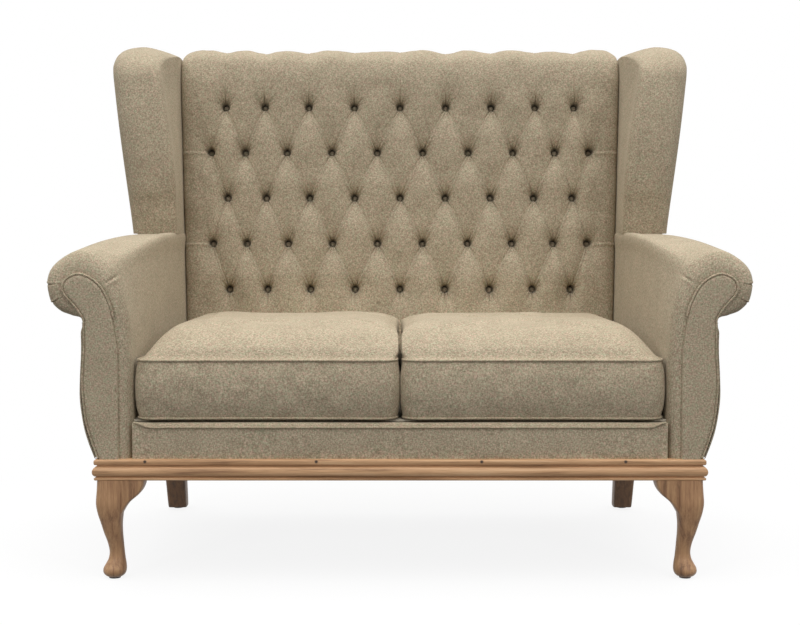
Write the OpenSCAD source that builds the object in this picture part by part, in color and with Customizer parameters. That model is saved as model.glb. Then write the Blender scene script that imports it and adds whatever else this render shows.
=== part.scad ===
// High back settee for two: scroll arms, wings, a deep-buttoned back, two loose seat cushions,
// a moulded show-wood plinth, cabriole front legs and raked rear legs.
// Origin on the floor under the middle, front towards -Y, +X to the viewer's right.
// Left and right are the viewer's.

/* [Overall] */
// Width across the two arm scrolls
overall_w = 1446; // [1400:2:1500]
// Depth from the front of the plinth to the top of the outside back
overall_d = 850; // [830:5:890]
// Height of the crest of the back
overall_h = 1156; // [1120:2:1200]

/* [Seat] */
// How far each arm's inside face draws in from the front to the back
seat_taper = 39.5; // [30:0.5:50]
// Height of the upholstered front border
border_h = 78; // [74:1:90]
// Thickness of the front border
border_t = 24; // [20:1:26]
// Thickness of the sprung platform's felt and cloth
platform_t = 9; // [7:0.5:9.5]

/* [Seat cushions] */
// Height of the boxing between the two piped seams
boxing_h = 119; // [90:1:125]
// Rise of the crown above the upper seam
crown_h = 74; // [50:1:85]
// Height of the lower seam above the platform
underside_h = 4; // [3:1:10]
// Corner radius in plan
cushion_corner_r = 34; // [26:1:45]
// Bulge of the boxing between its seams
boxing_bulge = 5; // [2:0.5:6]
// Draw-in of each seam between its corners
seam_draw_in = 5; // [1:0.5:8]
// Thickness of the zipped cover with its wadding
cover_t = 5; // [3:0.5:7]
// Radius of the piping cord
piping_r = 3; // [2.5:0.25:3.5]

/* [Arms] */
// Width of an arm at the front, from its inside face to the scroll's edge
arm_w = 172; // [166:1:180]
// Height of the scroll's top above the plinth, at the front
arm_h = 422; // [400:1:440]
// Rise of the arm between its front and the wing
arm_rise = 29; // [20:1:40]
// Thickness of the facing panel
facing_t = 8; // [6:0.5:10]
// Depth of the rounded front edge round the facing
arm_edge_d = 28; // [20:1:34]
// Thickness of the inside arm padding at the front
arm_pad_t = 32; // [28:1:36]
// Thickness of the outside arm panel
side_panel_t = 6; // [4:0.5:8]

/* [Wings] */
// Distance that a wing reaches in front of the inside back, at the arm
wing_reach = 122; // [90:1:150]
// Extra reach of a wing at its fullest height
wing_swell = 46; // [20:1:60]
// Thickness of a wing at the arm
wing_t = 107; // [98:1:112]
// Outward flare of a wing at its widest
wing_flare = 52; // [20:1:60]
// Radius of the padded edge of a wing
wing_edge_r = 44; // [30:1:50]

/* [Back] */
// Rake of the back from the vertical, in degrees
rake = 9; // [8:0.2:10]
// Thickness of the buttoned padding
back_pad_t = 111; // [100:1:118]
// Distance between buttons in a row
button_pitch = 110.8; // [104:0.2:114]
// Distance between rows of buttons, along the slope
row_pitch = 113.8; // [104:0.1:118]
// Distance of the top row below the outside back's top edge, along the slope
top_row_drop = 109.5; // [90:0.5:120]
// Depth of each button below the padding's surface
button_depth = 44; // [30:1:50]
// Depth of the pleats between the buttons
pleat_depth = 22; // [10:1:26]
// Radius of a covered button
button_r = 10; // [8:0.5:12]
// Rise of the crest roll above the outside back's top edge
crest_h = 48; // [40:1:56]

/* [Frame] */
// Height of the seat rails
rail_h = 64; // [58:1:64]
// Thickness of the rails
rail_t = 28; // [24:1:28]
// Width of the back posts
post_w = 40; // [34:1:42]
// Depth of the back posts and back rails
post_d = 45; // [38:1:50]
// Thickness of the outside back panel
back_panel_t = 6; // [4:0.5:8]
// Thickness of the wing boards
board_t = 22; // [18:1:24]
// Number of zigzag seat springs
spring_count = 9; // [7:1:11]

/* [Plinth and legs] */
// Height of the legs with their glides
leg_h = 208; // [190:2:220]
// Height of the plinth moulding
plinth_h = 43; // [40:1:48]
// Width of the plinth moulding
plinth_w = 62; // [58:1:66]
// How far the plinth stands proud of the arm fronts and the outside back
plinth_proud = 7; // [4:1:10]
// How far an arm's scroll overhangs the side of the plinth
scroll_overhang = 94; // [88:1:98]
// Half width of a cabriole leg's top
leg_half = 28; // [26:0.5:30]
// Width of a rear leg
rear_leg_w = 52; // [46:1:56]
// How far a rear leg stands in from the outer face of the back post
rear_leg_inset = 20; // [10:1:26]
// Rearward sweep of a rear leg
rear_leg_sweep = 74; // [50:1:80]
// Thickness of the glides under the feet
glide_t = 3; // [2:0.5:5]

/* [Hidden] */
fit = 0.3;          // gap between neighbours that touch on the real object
overrun = 5;        // how far a cutting shape runs past what it cuts
seat_clear = 2;     // room between a cushion and the arm or back beside it
cushion_gap = 1.2;  // gap between the two cushions
$fn = 32;

// Widths
seat_w = overall_w - 2 * arm_w;           // clear width between the arms at the front of the seat
seat_rear_w = seat_w - 2 * seat_taper;    // and where the seat meets the back
plinth_half = overall_w / 2 - scroll_overhang;

// Heights
plinth_top = leg_h + plinth_h;
rail_top = plinth_top + rail_h;
border_top = plinth_top + border_h;
arm_full_h = arm_h + arm_rise;
wing_base = plinth_top + arm_full_h;

// The front plane of the arm facings, and the plane where the arms reach their full section
front_y = -overall_d / 2 + plinth_proud;
arm_y = front_y + facing_t + fit + arm_edge_d;

// The back's own frame: n forwards from its rear plane, s up its slope from the plinth
webbing_t = 2;
back_t = back_panel_t + post_d;
pad_back_n = back_t + webbing_t + fit;
back_full_t = pad_back_n + back_pad_t;
crest_n = back_full_t / 2;
back_len = (overall_h - plinth_top - crest_n * sin(rake)) / cos(rake) - crest_h;
back_y = overall_d / 2 - back_len * sin(rake);

// Small functions shared by the pieces
function lerp(a, b, share) = a + (b - a) * share;
function clamp(share) = min(1, max(0, share));
function smooth(share) = let (c = clamp(share)) c * c * (3 - 2 * c);
function slope_s(y, z) = (z - plinth_top) * cos(rake) + (y - back_y) * sin(rake);
function slope_y(n, s) = back_y + s * sin(rake) - n * cos(rake);
function slope_z(n, s) = plinth_top + s * cos(rake) + n * sin(rake);
function s_at(n, z) = (z - plinth_top - n * sin(rake)) / cos(rake);
function y_at(n, z) = slope_y(n, s_at(n, z));

// The buttoned back widens a little as it rises from its foot on the platform
back_widen_share = 0.037;
pad_foot_z = border_top + fit;
function back_half(s) = seat_rear_w / 2 + back_widen_share * (s - s_at(back_full_t, pad_foot_z));
pad_front_y = y_at(back_full_t, pad_foot_z);

// Inside face of an arm at a place: straight from its front to the side of the back
function inside_x(y, z) =
    let (at_back = back_half(slope_s(max(y, pad_front_y), z)) + fit)
    lerp(seat_w / 2, at_back, clamp((y - front_y) / (pad_front_y - front_y)));

// Colours
oak = "#b98d5f";
oak_shade = "#8a6644";
frame_wood = "#d6bd93";
cloth = "#b5a88d";
cloth_shade = "#958970";
felt = "#cfc8b8";
foam = "#e4d9ae";
steel = "#9aa0a6";
jute = "#a58a5c";
black_cloth = "#2c2a28";

// Places of the timber frame
post_in = seat_w / 2 + arm_pad_t + fit;       // inner face of the arm posts
arm_post_w = 34;
arm_post_d = 45;
post_front_y = front_y + facing_t + border_t;  // front face of the arm posts and front rail
rail_out = post_in + rail_t;                   // outer face of the side rails and back posts
back_post_in = rail_out - post_w;
rail_back_y = y_at(back_t + fit, plinth_top);  // rear face of the rear seat rail
arm_rail_w = 56;
arm_rail_h = 36;
arm_rail_in = post_in + board_t / 2;
arm_rail_share = 0.735;
arm_rail_z = plinth_top + arm_rail_share * arm_h;  // underside of an arm rail
board_in = rail_out - board_t;                 // inner face of a wing board
scroll_under_share = 0.66;
scroll_under_z = plinth_top + scroll_under_share * arm_h;  // where the outside arm ends under the scroll

// A bar along X or Y whose section or side view is given by its corner points
module along_x(yz, x0, x1) {
    translate([x0, 0, 0]) rotate([90, 0, 90]) linear_extrude(x1 - x0) polygon(yz);
}
module along_y(xz, y0, y1) {
    translate([0, y1, 0]) rotate([90, 0, 0]) linear_extrude(y1 - y0) polygon(xz);
}
module box(low, high) {
    translate(low) cube(high - low);
}
// Draws its children in the back's frame, where a place is [x, -n, s]
module on_slope() {
    translate([0, back_y, plinth_top]) rotate([-rake, 0, 0]) children();
}
module slope_box(x0, x1, n0, n1, s0, s1) {
    on_slope() box([x0, -n1, s0], [x1, -n0, s1]);
}
// Everything within a number of millimetres of the back's rear plane, as a cutting shape
module behind(n, x0, x1, s1) {
    on_slope() box([x0, -n, -leg_h], [x1, overall_d, s1]);
}
module both_sides() {
    children();
    mirror([1, 0, 0]) children();
}
function mean(points) = [for (k = [0:2]) let (v = [for (p = points) p[k]]) v * [for (p = points) 1] / len(points)];
function turned(faces) = [for (f = faces) [for (i = [len(f) - 1:-1:0]) f[i]]];
function strips(ring_total, count) = [for (k = [0:ring_total - 2], i = [0:count - 1])
    let (a = k * count + i, b = k * count + (i + 1) % count)
    for (f = [[a, b, a + count], [b, b + count, a + count]]) f];
// A solid through a list of rings of points, in triangles; each end is flat, or a fan where it curves
module loft(rings, flip = false, fans = false) {
    count = len(rings[0]);
    last = (len(rings) - 1) * count;
    top = len(rings) * count;
    sides = strips(len(rings), count);
    flat_caps = [[for (i = [count - 1:-1:0]) i], [for (i = [0:count - 1]) last + i]];
    fan_caps = [for (i = [0:count - 1]) let (j = (i + 1) % count)
        for (f = [[j, i, top], [last + i, last + j, top + 1]]) f];
    faces = concat(sides, fans ? fan_caps : flat_caps);
    middles = fans ? [mean(rings[0]), mean(rings[len(rings) - 1])] : [];
    polyhedron(concat([for (r = rings, p = r) p], middles), flip ? faces : turned(faces));
}
// Moves every point of an open or closed path sideways by a distance, to the right of its course
function shifted(path, dist, closed = false) =
    let (n = len(path))
    [for (i = [0:n - 1])
        let (before = path[closed ? (i + n - 1) % n : max(i - 1, 0)],
             after = path[closed ? (i + 1) % n : min(i + 1, n - 1)],
             run = after - before)
        path[i] + dist * [run[1], -run[0]] / norm(run)];
// A round cord of a given radius along a path of [x, y, z] points
cord_sides = 6;
module cord(path, radius, closed = false) {
    n = len(path);
    rings = [for (i = [0:n - 1])
        let (before = path[closed ? (i + n - 1) % n : max(i - 1, 0)],
             after = path[closed ? (i + 1) % n : min(i + 1, n - 1)],
             run = (after - before) / norm(after - before),
             guide = abs(run[1]) < 0.9 ? [0, 1, 0] : [0, 0, 1],
             side = cross(run, guide) / norm(cross(run, guide)),
             up = cross(side, run))
        [for (k = [0:cord_sides - 1])
            path[i] + radius * (cos(360 * k / cord_sides) * side + sin(360 * k / cord_sides) * up)]];
    if (closed) {
        faces = [for (r = [0:n - 1], k = [0:cord_sides - 1])
            let (a = r * cord_sides + k, b = r * cord_sides + (k + 1) % cord_sides,
                 c = (r + 1) % n * cord_sides + k,
                 d = (r + 1) % n * cord_sides + (k + 1) % cord_sides)
            for (f = [[a, c, b], [b, c, d]]) f];
        polyhedron([for (r = rings, p = r) p], [for (f = faces) [f[0], f[2], f[1]]]);
    } else {
        loft(rings, flip = true);
    }
}

// Plinth: a moulded rail with a bullnose, mitred at the corners
torus_r_share = 0.26;
cove_share = 0.25;
groove_share = 0.84;
fillet_set_share = 0.05;
module plinth_profile() {
    torus_r = torus_r_share * plinth_h;
    square([plinth_w - torus_r, plinth_h]);
    translate([plinth_w - torus_r, cove_share * plinth_h + torus_r]) circle(torus_r);
    translate([0, groove_share * plinth_h])
        square([plinth_w * (1 - fillet_set_share), plinth_h * (1 - groove_share)]);
}
plinth_front_y = front_y - plinth_proud;
plinth_back_y = back_y + plinth_proud;
// A length of moulding along X, its outer face towards -Y at y = 0, mitred at both ends
module mitred_moulding(half) {
    intersection() {
        translate([-half, plinth_w, 0]) rotate([90, 0, 90]) linear_extrude(2 * half)
            mirror([1, 0]) plinth_profile();
        linear_extrude(plinth_h)
            polygon([[-half, 0], [half, 0], [half - plinth_w, plinth_w], [plinth_w - half, plinth_w]]);
    }
}
module plinth_front() {
    color(oak) difference() {
        translate([0, plinth_front_y, leg_h]) mitred_moulding(plinth_half);
        bolt_shapes(fit);
    }
}
module plinth_back() {
    color(oak_shade) difference() {
        translate([0, plinth_back_y, leg_h]) rotate([0, 0, 180]) mitred_moulding(plinth_half);
        bolt_shapes(fit);
    }
}
module plinth_right() {
    color(oak) difference() {
        translate([plinth_half, (plinth_front_y + plinth_back_y) / 2, leg_h]) rotate([0, 0, 90])
            mitred_moulding((plinth_back_y - plinth_front_y) / 2);
        bolt_shapes(fit);
    }
}
module plinth_left() {
    mirror([1, 0, 0]) plinth_right();
}

// Front legs: cabriole, bowed outwards along the diagonal, on a pad foot.
// Each section: height, offset of its middle and half width, as shares of leg_h and leg_half.
leg_shares = [
    [0.986, 0, 1], [0.93, 0.01, 1.01], [0.86, 0.07, 0.98], [0.76, 0.12, 0.97], [0.66, 0.09, 0.9],
    [0.56, 0.03, 0.77], [0.46, -0.06, 0.68], [0.36, -0.19, 0.59], [0.27, -0.27, 0.555],
    [0.2, -0.27, 0.61], [0.15, -0.22, 0.73], [0.1, -0.14, 0.85], [0.06, -0.11, 0.84],
    [0.03, -0.11, 0.7], [0.0145, -0.11, 0.5],
];
leg_sides = 16;
square_leg_power = 0.45;
round_leg_power = 1;
round_to_share = 0.15;   // a leg is round below this share of its height
square_run_share = 0.67; // and square from this share further up
leg_block_share = 0.95;  // where the square block at its top begins
front_leg_x = plinth_half - leg_half - plinth_proud;
front_leg_y = plinth_front_y + leg_half + plinth_proud / 2;
function rounded_unit(angle, power) =
    [sign(cos(angle)) * pow(abs(cos(angle)), power), sign(sin(angle)) * pow(abs(sin(angle)), power)];
module leg_form() {
    loft([for (s = leg_shares)
        let (power = lerp(round_leg_power, square_leg_power, smooth((s[0] - round_to_share) / square_run_share)),
             out = s[1] * leg_half, half = s[2] * leg_half)
        [for (k = [0:leg_sides - 1])
            let (u = rounded_unit(360 * (k + 0.5) / leg_sides, power))
            [out + half * u[0], half * u[1] - out, s[0] * leg_h]]], flip = true);
}
module front_leg_right() {
    color(oak) difference() {
        union() {
            translate([front_leg_x, front_leg_y, 0]) leg_form();
            box([front_leg_x - leg_half, front_leg_y - leg_half, leg_h * leg_block_share],
                [front_leg_x + leg_half, front_leg_y + leg_half, leg_h]);
        }
        bolt_shapes(fit);
    }
}
module front_leg_left() {
    mirror([1, 0, 0]) front_leg_right();
}

// Knee ears: shaped brackets beside each knee, under the plinth
ear_len = 42;
ear_h = 66;
ear_half_share = 0.62;
ear_shares = [[0, 0], [1, 0], [0.97, 0.16], [0.84, 0.34], [0.62, 0.52], [0.38, 0.7], [0.18, 0.9], [0, 1]];
module ear(half) {
    along_y([for (s = ear_shares) [-s[0] * ear_len, -s[1] * ear_h]], -half, half);
}
module knee_ears_right() {
    half = leg_half * ear_half_share;
    color(oak) {
        translate([front_leg_x - leg_half - fit, front_leg_y, leg_h]) ear(half);
        translate([front_leg_x, front_leg_y + leg_half + fit, leg_h]) rotate([0, 0, -90]) ear(half);
    }
}
module knee_ears_left() {
    mirror([1, 0, 0]) knee_ears_right();
}

// Rear legs: raked back and lightly tapered, with the corners taken off
rear_leg_x = rail_out - rear_leg_w / 2 - rear_leg_inset;
rear_leg_y = plinth_back_y - plinth_w + rear_leg_w / 2;
// Each section: height above the glide, rearward sweep and half width, as shares of the leg's
rear_leg_shares = [[0, 1, 0.68], [0.032, 0.94, 0.9], [0.6, 0.36, 1], [1, 0, 1]];
rear_corner_share = 0.25;
function square_ring(half, cut, place) =
    [for (c = [[1, 1], [-1, 1], [-1, -1], [1, -1]], k = [0, 1])
        let (first = (c[0] * c[1] > 0) == (k == 0))
        place + [c[0] * (half - (first ? 0 : cut)), c[1] * (half - (first ? cut : 0)), 0]];
module rear_leg_right() {
    half = rear_leg_w / 2;
    cut = half * rear_corner_share;
    color(oak_shade) difference() {
        loft([for (r = rear_leg_shares)
            let (place = [rear_leg_x, rear_leg_y + r[1] * rear_leg_sweep, lerp(glide_t, leg_h, r[0])])
            square_ring(r[2] * half, cut, place)]);
        bolt_shapes(fit);
    }
}
module rear_leg_left() {
    mirror([1, 0, 0]) rear_leg_right();
}

// Glides under the four feet
glide_r = 12;
foot_out = leg_shares[len(leg_shares) - 1][1] * leg_half;
foot_front = [front_leg_x + foot_out, front_leg_y - foot_out, 0];
foot_rear = [rear_leg_x, rear_leg_y + rear_leg_sweep, 0];
module glides() {
    color(black_cloth) both_sides()
        for (foot = [foot_front, foot_rear]) translate(foot) cylinder(h = glide_t, r = glide_r);
}

// Leg bolts: one up through each leg's top and the plinth into the frame
bolt_r = 4;
bolt_in_leg = 45;
bolt_in_frame = 22;
bolt_back_share = 0.6;  // how far the front bolts stand behind the middle of their legs
bolt_places = [[front_leg_x, front_leg_y + bolt_back_share * leg_half, 0],
    [back_post_in + post_w / 4, rear_leg_y, 0]];
module bolt_shapes(gap) {
    both_sides() for (place = bolt_places)
        translate(place + [0, 0, leg_h - bolt_in_leg - gap])
            cylinder(h = bolt_in_leg + plinth_h + bolt_in_frame + 2 * gap, r = bolt_r + gap);
}
module leg_bolts() {
    color(steel) bolt_shapes(0);
}

// Corner blocks: the legs' bolts end in them, between the rails' ends
block_leg = 70;
block_h = 40;
module corner_blocks() {
    front = [post_in - fit, post_front_y + rail_t + fit];
    rear = [post_in - fit, rail_back_y - rail_t - fit];
    color(frame_wood) difference() {
        both_sides() translate([0, 0, plinth_top]) linear_extrude(block_h) {
            polygon([front, front + [-block_leg, 0], front + [0, block_leg]]);
            polygon([rear, rear + [-block_leg, 0], rear + [0, -block_leg]]);
        }
        bolt_shapes(fit);
    }
}

// Dust cover: black cloth inside the plinth, under the springs
dust_t = 1;
module dust_cover() {
    in = plinth_half - plinth_w - fit;
    color(black_cloth)
        box([-in, plinth_front_y + plinth_w + fit, leg_h + dust_t],
            [in, plinth_back_y - plinth_w - fit, leg_h + 2 * dust_t]);
}

// Seat rails
module seat_rail_front() {
    color(frame_wood) difference() {
        box([fit - post_in, post_front_y, plinth_top], [post_in - fit, post_front_y + rail_t, rail_top]);
        bolt_shapes(fit);
    }
}
module seat_rail_back() {
    color(frame_wood) difference() {
        box([fit - post_in, rail_back_y - rail_t, plinth_top], [post_in - fit, rail_back_y, rail_top]);
        bolt_shapes(fit);
    }
}
// A rail of one side from the arm post to the back post, whose rear end follows the rake
module side_bar(x0, x1, z0, z1) {
    start = post_front_y + arm_post_d + fit;
    along_x([[start, z0], [y_at(back_t + fit, z0), z0], [y_at(back_t + fit, z1), z1], [start, z1]], x0, x1);
}
module seat_rail_right() {
    color(frame_wood) difference() {
        side_bar(post_in, rail_out, plinth_top, rail_top);
        bolt_shapes(fit);
    }
}
module seat_rail_left() {
    mirror([1, 0, 0]) seat_rail_right();
}
centre_rail_w = 40;
centre_rail_h = 38;
module seat_rail_centre() {
    color(frame_wood)
        box([-centre_rail_w / 2, post_front_y + rail_t + fit, plinth_top],
            [centre_rail_w / 2, rail_back_y - rail_t - fit, plinth_top + centre_rail_h]);
}

// Zigzag springs from the front rail to the rear rail, each held in a clip at both ends
spring_t = 3.2;
spring_half = 22;
spring_turns = 14;
clip_t = 1.2;
clip_w = 16;
clip_len = 18;
spring_out = seat_rear_w / 2 - 2 * spring_half;
spring_xs = [for (i = [0:spring_count - 1]) lerp(-spring_out, spring_out, i / (spring_count - 1))];
spring_y0 = post_front_y + clip_len / 2;
spring_y1 = rail_back_y - clip_len / 2;
module zigzag() {
    ends = [[0, spring_y0], [0, spring_y1]];
    pitch = (spring_y1 - spring_y0) / (spring_turns + 1);
    middle = [for (i = [1:spring_turns]) [(i % 2 == 0 ? 1 : -1) * spring_half, spring_y0 + i * pitch]];
    path = concat([ends[0]], middle, [ends[1]]);
    right = shifted(path, spring_t / 2);
    left = shifted(path, -spring_t / 2);
    linear_extrude(spring_t)
        polygon(concat(right, [for (i = [len(left) - 1:-1:0]) left[i]]));
}
module seat_springs() {
    color(steel) for (x = spring_xs) translate([x, 0, rail_top + clip_t]) zigzag();
}
module spring_clips() {
    color(steel) for (x = spring_xs, y = [spring_y0, spring_y1])
        box([x - clip_w / 2, y - clip_len / 2, rail_top], [x + clip_w / 2, y + clip_len / 2, rail_top + clip_t]);
}

// Sprung platform: felt and cloth over the springs, from the border to the foot of the back
module seat_platform() {
    z0 = border_top - platform_t;
    side = [for (y = [post_front_y + fit, pad_front_y, rail_back_y]) [inside_x(y, z0) - fit, y]];
    color(felt) translate([0, 0, z0]) linear_extrude(platform_t)
        polygon(concat(side, [for (i = [len(side) - 1:-1:0]) [-side[i][0], side[i][1]]]));
}

// Front border, its top edge rounded, and the piping along it
border_face_y = front_y + facing_t;
border_edge_r = 9;
turn_step = 15;  // degrees between the points of a rounded edge
module front_border() {
    half = inside_x(post_front_y, plinth_top) - fit;
    edge = [for (a = [0:turn_step:90]) [border_face_y + border_edge_r * (1 - sin(a)),
        border_top - border_edge_r * (1 - cos(a))]];
    color(cloth) along_x(concat(
        [[post_front_y - fit, border_top], [post_front_y - fit, plinth_top], [border_face_y, plinth_top]],
        [for (i = [len(edge) - 1:-1:0]) edge[i]]), -half, half);
}
lip_rise = 10;
lip_run = 34;
lip_steps = 4;
module border_piping() {
    half = seat_w / 2 - fit - 2 * piping_r;
    xs = concat([for (i = [0:lip_steps]) -half + lip_run * i / lip_steps],
        [for (i = [-lip_steps:lip_steps]) lip_run * i / lip_steps],
        [for (i = [lip_steps:-1:0]) half - lip_run * i / lip_steps]);
    color(cloth) cord([for (x = xs)
        let (near = min(abs(x), half - abs(x)),
             rise = lip_rise * (1 - smooth(near / lip_run)))
        [x, border_face_y - piping_r - fit, border_top - border_edge_r + rise]], piping_r);
}

// Arm posts, arm rails and tacking rails inside the arms
module arm_post_right() {
    color(frame_wood) difference() {
        box([post_in, post_front_y, plinth_top],
            [post_in + arm_post_w, post_front_y + arm_post_d, arm_rail_z - fit]);
        bolt_shapes(fit);
    }
}
module arm_post_left() {
    mirror([1, 0, 0]) arm_post_right();
}
module arm_rail_right() {
    z1 = arm_rail_z + arm_rail_h;
    color(frame_wood) along_x([[post_front_y, arm_rail_z],
        [y_at(back_t + fit, arm_rail_z), arm_rail_z], [y_at(back_t + fit, z1), z1], [post_front_y, z1]],
        arm_rail_in, arm_rail_in + arm_rail_w);
}
module arm_rail_left() {
    mirror([1, 0, 0]) arm_rail_right();
}
tacking_h = 30;
tacking_w = 20;
tacking_rise = 45;
tacking_z = rail_top + tacking_rise;
module tacking_rail_right() {
    color(frame_wood) side_bar(post_in, post_in + tacking_w, tacking_z, tacking_z + tacking_h);
}
module tacking_rail_left() {
    mirror([1, 0, 0]) tacking_rail_right();
}

// Arms. Each outline goes up the inside, over the scroll and down the outside.
// Its points are shares: across from the inside face to the scroll's edge, and up from the plinth.
arm_full_shares = [
    [0, 0], [0, 0.19], [0, 0.38], [0.01, 0.53], [0.035, 0.675], [0.09, 0.77], [0.16, 0.845],
    [0.26, 0.915], [0.4, 0.97], [0.535, 1], [0.69, 0.985], [0.86, 0.945], [0.965, 0.9], [1, 0.85],
    [0.98, 0.79], [0.945, 0.755], [0.84, 0.715], [0.71, 0.695], [0.615, 0.675], [0.6, 0.59],
    [0.6, 0.51], [0.615, 0.395], [0.625, 0.285], [0.585, 0.16], [0.535, 0.08], [0.46, 0],
];
// The same points on the line of the facing's piping
arm_face_shares = [
    [0.145, 0], [0.14, 0.19], [0.14, 0.38], [0.145, 0.53], [0.19, 0.695], [0.215, 0.74], [0.265, 0.79],
    [0.325, 0.835], [0.405, 0.868], [0.495, 0.89], [0.58, 0.9], [0.655, 0.895], [0.73, 0.878],
    [0.765, 0.86], [0.785, 0.83], [0.75, 0.795], [0.695, 0.77], [0.62, 0.735], [0.54, 0.68],
    [0.54, 0.645], [0.54, 0.535], [0.565, 0.385], [0.555, 0.29], [0.525, 0.18], [0.46, 0.085],
    [0.39, 0],
];
// The same points under the wing, where the arm's top is level; up is a share of the full height
arm_wing_shares = [
    [0, 0], [0, 0.18], [0, 0.36], [0, 0.5], [0, 0.63], [0, 0.77], [0, 0.9],
    [0, 1], [0.2, 1], [0.38, 1], [0.53, 0.994], [0.74, 0.972], [0.885, 0.942], [0.985, 0.87],
    [0.985, 0.775], [0.92, 0.705], [0.82, 0.67], [0.72, 0.65], [0.65, 0.63], [0.635, 0.55],
    [0.635, 0.475], [0.65, 0.37], [0.655, 0.265], [0.625, 0.15], [0.58, 0.075], [0.52, 0],
];
panel_first = 18;  // the first outline point that lies on the outside arm
arm_points = len(arm_full_shares);
function arm_point(share, y, height) =
    let (z = plinth_top + share[1] * height)
    [lerp(inside_x(y, z), overall_w / 2, share[0]), z];
// Arm outline at a depth: the scroll's, turning into the wing's level seat towards the back
wing_foot_y = pad_front_y - wing_reach;
arm_blend_d = 260;
function arm_outline(y) =
    let (turn = smooth((y - wing_foot_y + arm_blend_d) / arm_blend_d))
    [for (i = [0:arm_points - 1])
        lerp(arm_point(arm_full_shares[i], y, arm_h), arm_point(arm_wing_shares[i], y, arm_full_h), turn)];
facing_line = [for (s = arm_face_shares) arm_point(s, front_y, arm_h)];
// The rounded front edge swells from just outside the facing's piping to the full outline
function arm_ring(y, inset) =
    let (grow = clamp((y - front_y - facing_t - fit) / arm_edge_d),
         round_share = sqrt(max(0, 1 - pow(1 - grow, 2))),
         start = shifted(facing_line, -2 * piping_r),
         outline = arm_outline(y))
    [for (i = [0:arm_points - 1])
        let (p = lerp(start[i], outline[i], round_share),
             onto_floor = [p[0], i == 0 || i == arm_points - 1 ? plinth_top : p[1]],
             inward = i >= panel_first - 1 && i < arm_points ? inset : 0)
        onto_floor - [inward, 0]];
arm_edge_shares = [0, 0.04, 0.16, 0.36, 0.64, 1];
arm_run_shares = [0.35, 0.5, 0.6, 0.7, 0.8, 0.9, 1];
arm_rear_y = y_at(0, wing_base) + overrun;
arm_ys = concat(
    [for (s = arm_edge_shares) front_y + facing_t + fit + s * arm_edge_d],
    [for (s = arm_run_shares) lerp(arm_y, wing_foot_y, s)],
    [pad_front_y, arm_rear_y]);
arm_top_slot_z = arm_rail_z + arm_rail_h + fit;
module arm_pad_right() {
    far = overall_w;
    pocket_y = post_front_y - fit;
    color(cloth) difference() {
        loft([for (y = arm_ys) [for (p = arm_ring(y, side_panel_t + fit)) [p[0], y, p[1]]]]);
        // Hollow for the frame, open at the outside under the scroll
        along_y([[post_in - fit, -overrun], [far, -overrun], [far, scroll_under_z - fit],
            [arm_rail_in + arm_rail_w + fit, scroll_under_z - fit],
            [arm_rail_in + arm_rail_w + fit, arm_top_slot_z], [arm_rail_in - fit, arm_top_slot_z],
            [arm_rail_in - fit, arm_rail_z - fit], [post_in - fit, arm_rail_z - fit]],
            pocket_y, overall_d);
        // Room for the seat rails
        box([0, pocket_y, 0], [far, overall_d, rail_top + fit]);
        // Slot for the wing board and the back post
        box([board_in - fit, board_front_y - fit, arm_rail_z], [rail_out + fit, overall_d, wing_base + overrun]);
        behind(pad_back_n, 0, rail_out + fit, back_len);
        behind(back_panel_t + fit, 0, far, back_len);
    }
}
module arm_pad_left() {
    mirror([1, 0, 0]) arm_pad_right();
}

// Facing panel on the front of each arm, and the piping round it
facing_points = shifted(facing_line, piping_r + 4 * fit);
module arm_facing_right() {
    outer = [for (i = [4:arm_points - 1]) facing_points[i]];
    foot_x = facing_line[0][0];
    color(cloth) along_y(concat([[foot_x, plinth_top], [foot_x, facing_line[3][1]]],
        [for (p = outer) [p[0], max(p[1], plinth_top)]], [[outer[len(outer) - 1][0], plinth_top]]),
        front_y, front_y + facing_t);
}
module arm_facing_left() {
    mirror([1, 0, 0]) arm_facing_right();
}
module facing_piping_right() {
    color(cloth) cord([for (i = [4:arm_points - 1])
        [facing_line[i][0], front_y + facing_t - piping_r, max(facing_line[i][1], plinth_top + piping_r)]],
        piping_r);
}
module facing_piping_left() {
    mirror([1, 0, 0]) facing_piping_right();
}

// Outside arm panel, from the plinth up to the scroll's underside
module outside_arm_right() {
    ys = [for (y = arm_ys) if (y > front_y + facing_t + fit) y];
    color(cloth) difference() {
        loft([for (y = ys)
            let (ring = arm_ring(y, 0), outer = [for (i = [panel_first:arm_points - 1]) ring[i]])
            [for (p = concat(outer, [for (i = [len(outer) - 1:-1:0]) outer[i] - [side_panel_t, 0]]))
                [p[0], y, min(p[1], scroll_under_z - 2 * fit)]]]);
        behind(back_panel_t + fit, 0, overall_w, back_len);
    }
}
module outside_arm_left() {
    mirror([1, 0, 0]) outside_arm_right();
}

// Wings. A wing's side view, in the back's frame, with its edge drawn in by a number of millimetres.
wing_foot_z = wing_base + fit;
wing_shoulder_share = 0.72;
wing_rear_n = back_panel_t + fit;
wing_crest_share = 0.9;
wing_top_s = back_len + crest_h * wing_crest_share;
wing_top_draw_share = 0.6;
wing_shoulder_s = lerp(s_at(back_full_t, wing_foot_z), wing_top_s, wing_shoulder_share);
wing_rise_shares = [0, 0.25, 0.5, 0.75];
wing_swell_turn = 130;  // degrees of the sine that the front edge follows up to the shoulder
function wing_front_n(share) = back_full_t + wing_reach + wing_swell * sin(wing_swell_turn * share);
// The front edge, from the arm up to the top
function wing_front(draw, base = wing_foot_z) =
    let (shoulder_n = wing_front_n(1) - draw, top_s = wing_top_s - wing_top_draw_share * draw)
    concat(
        [for (t = wing_rise_shares)
            let (n = wing_front_n(t) - draw) [n, lerp(s_at(n, base), wing_shoulder_s, t)]],
        [for (a = [0:turn_step:90])
            [lerp(crest_n, shoulder_n, cos(a)), lerp(wing_shoulder_s, top_s, sin(a))]]);
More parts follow.
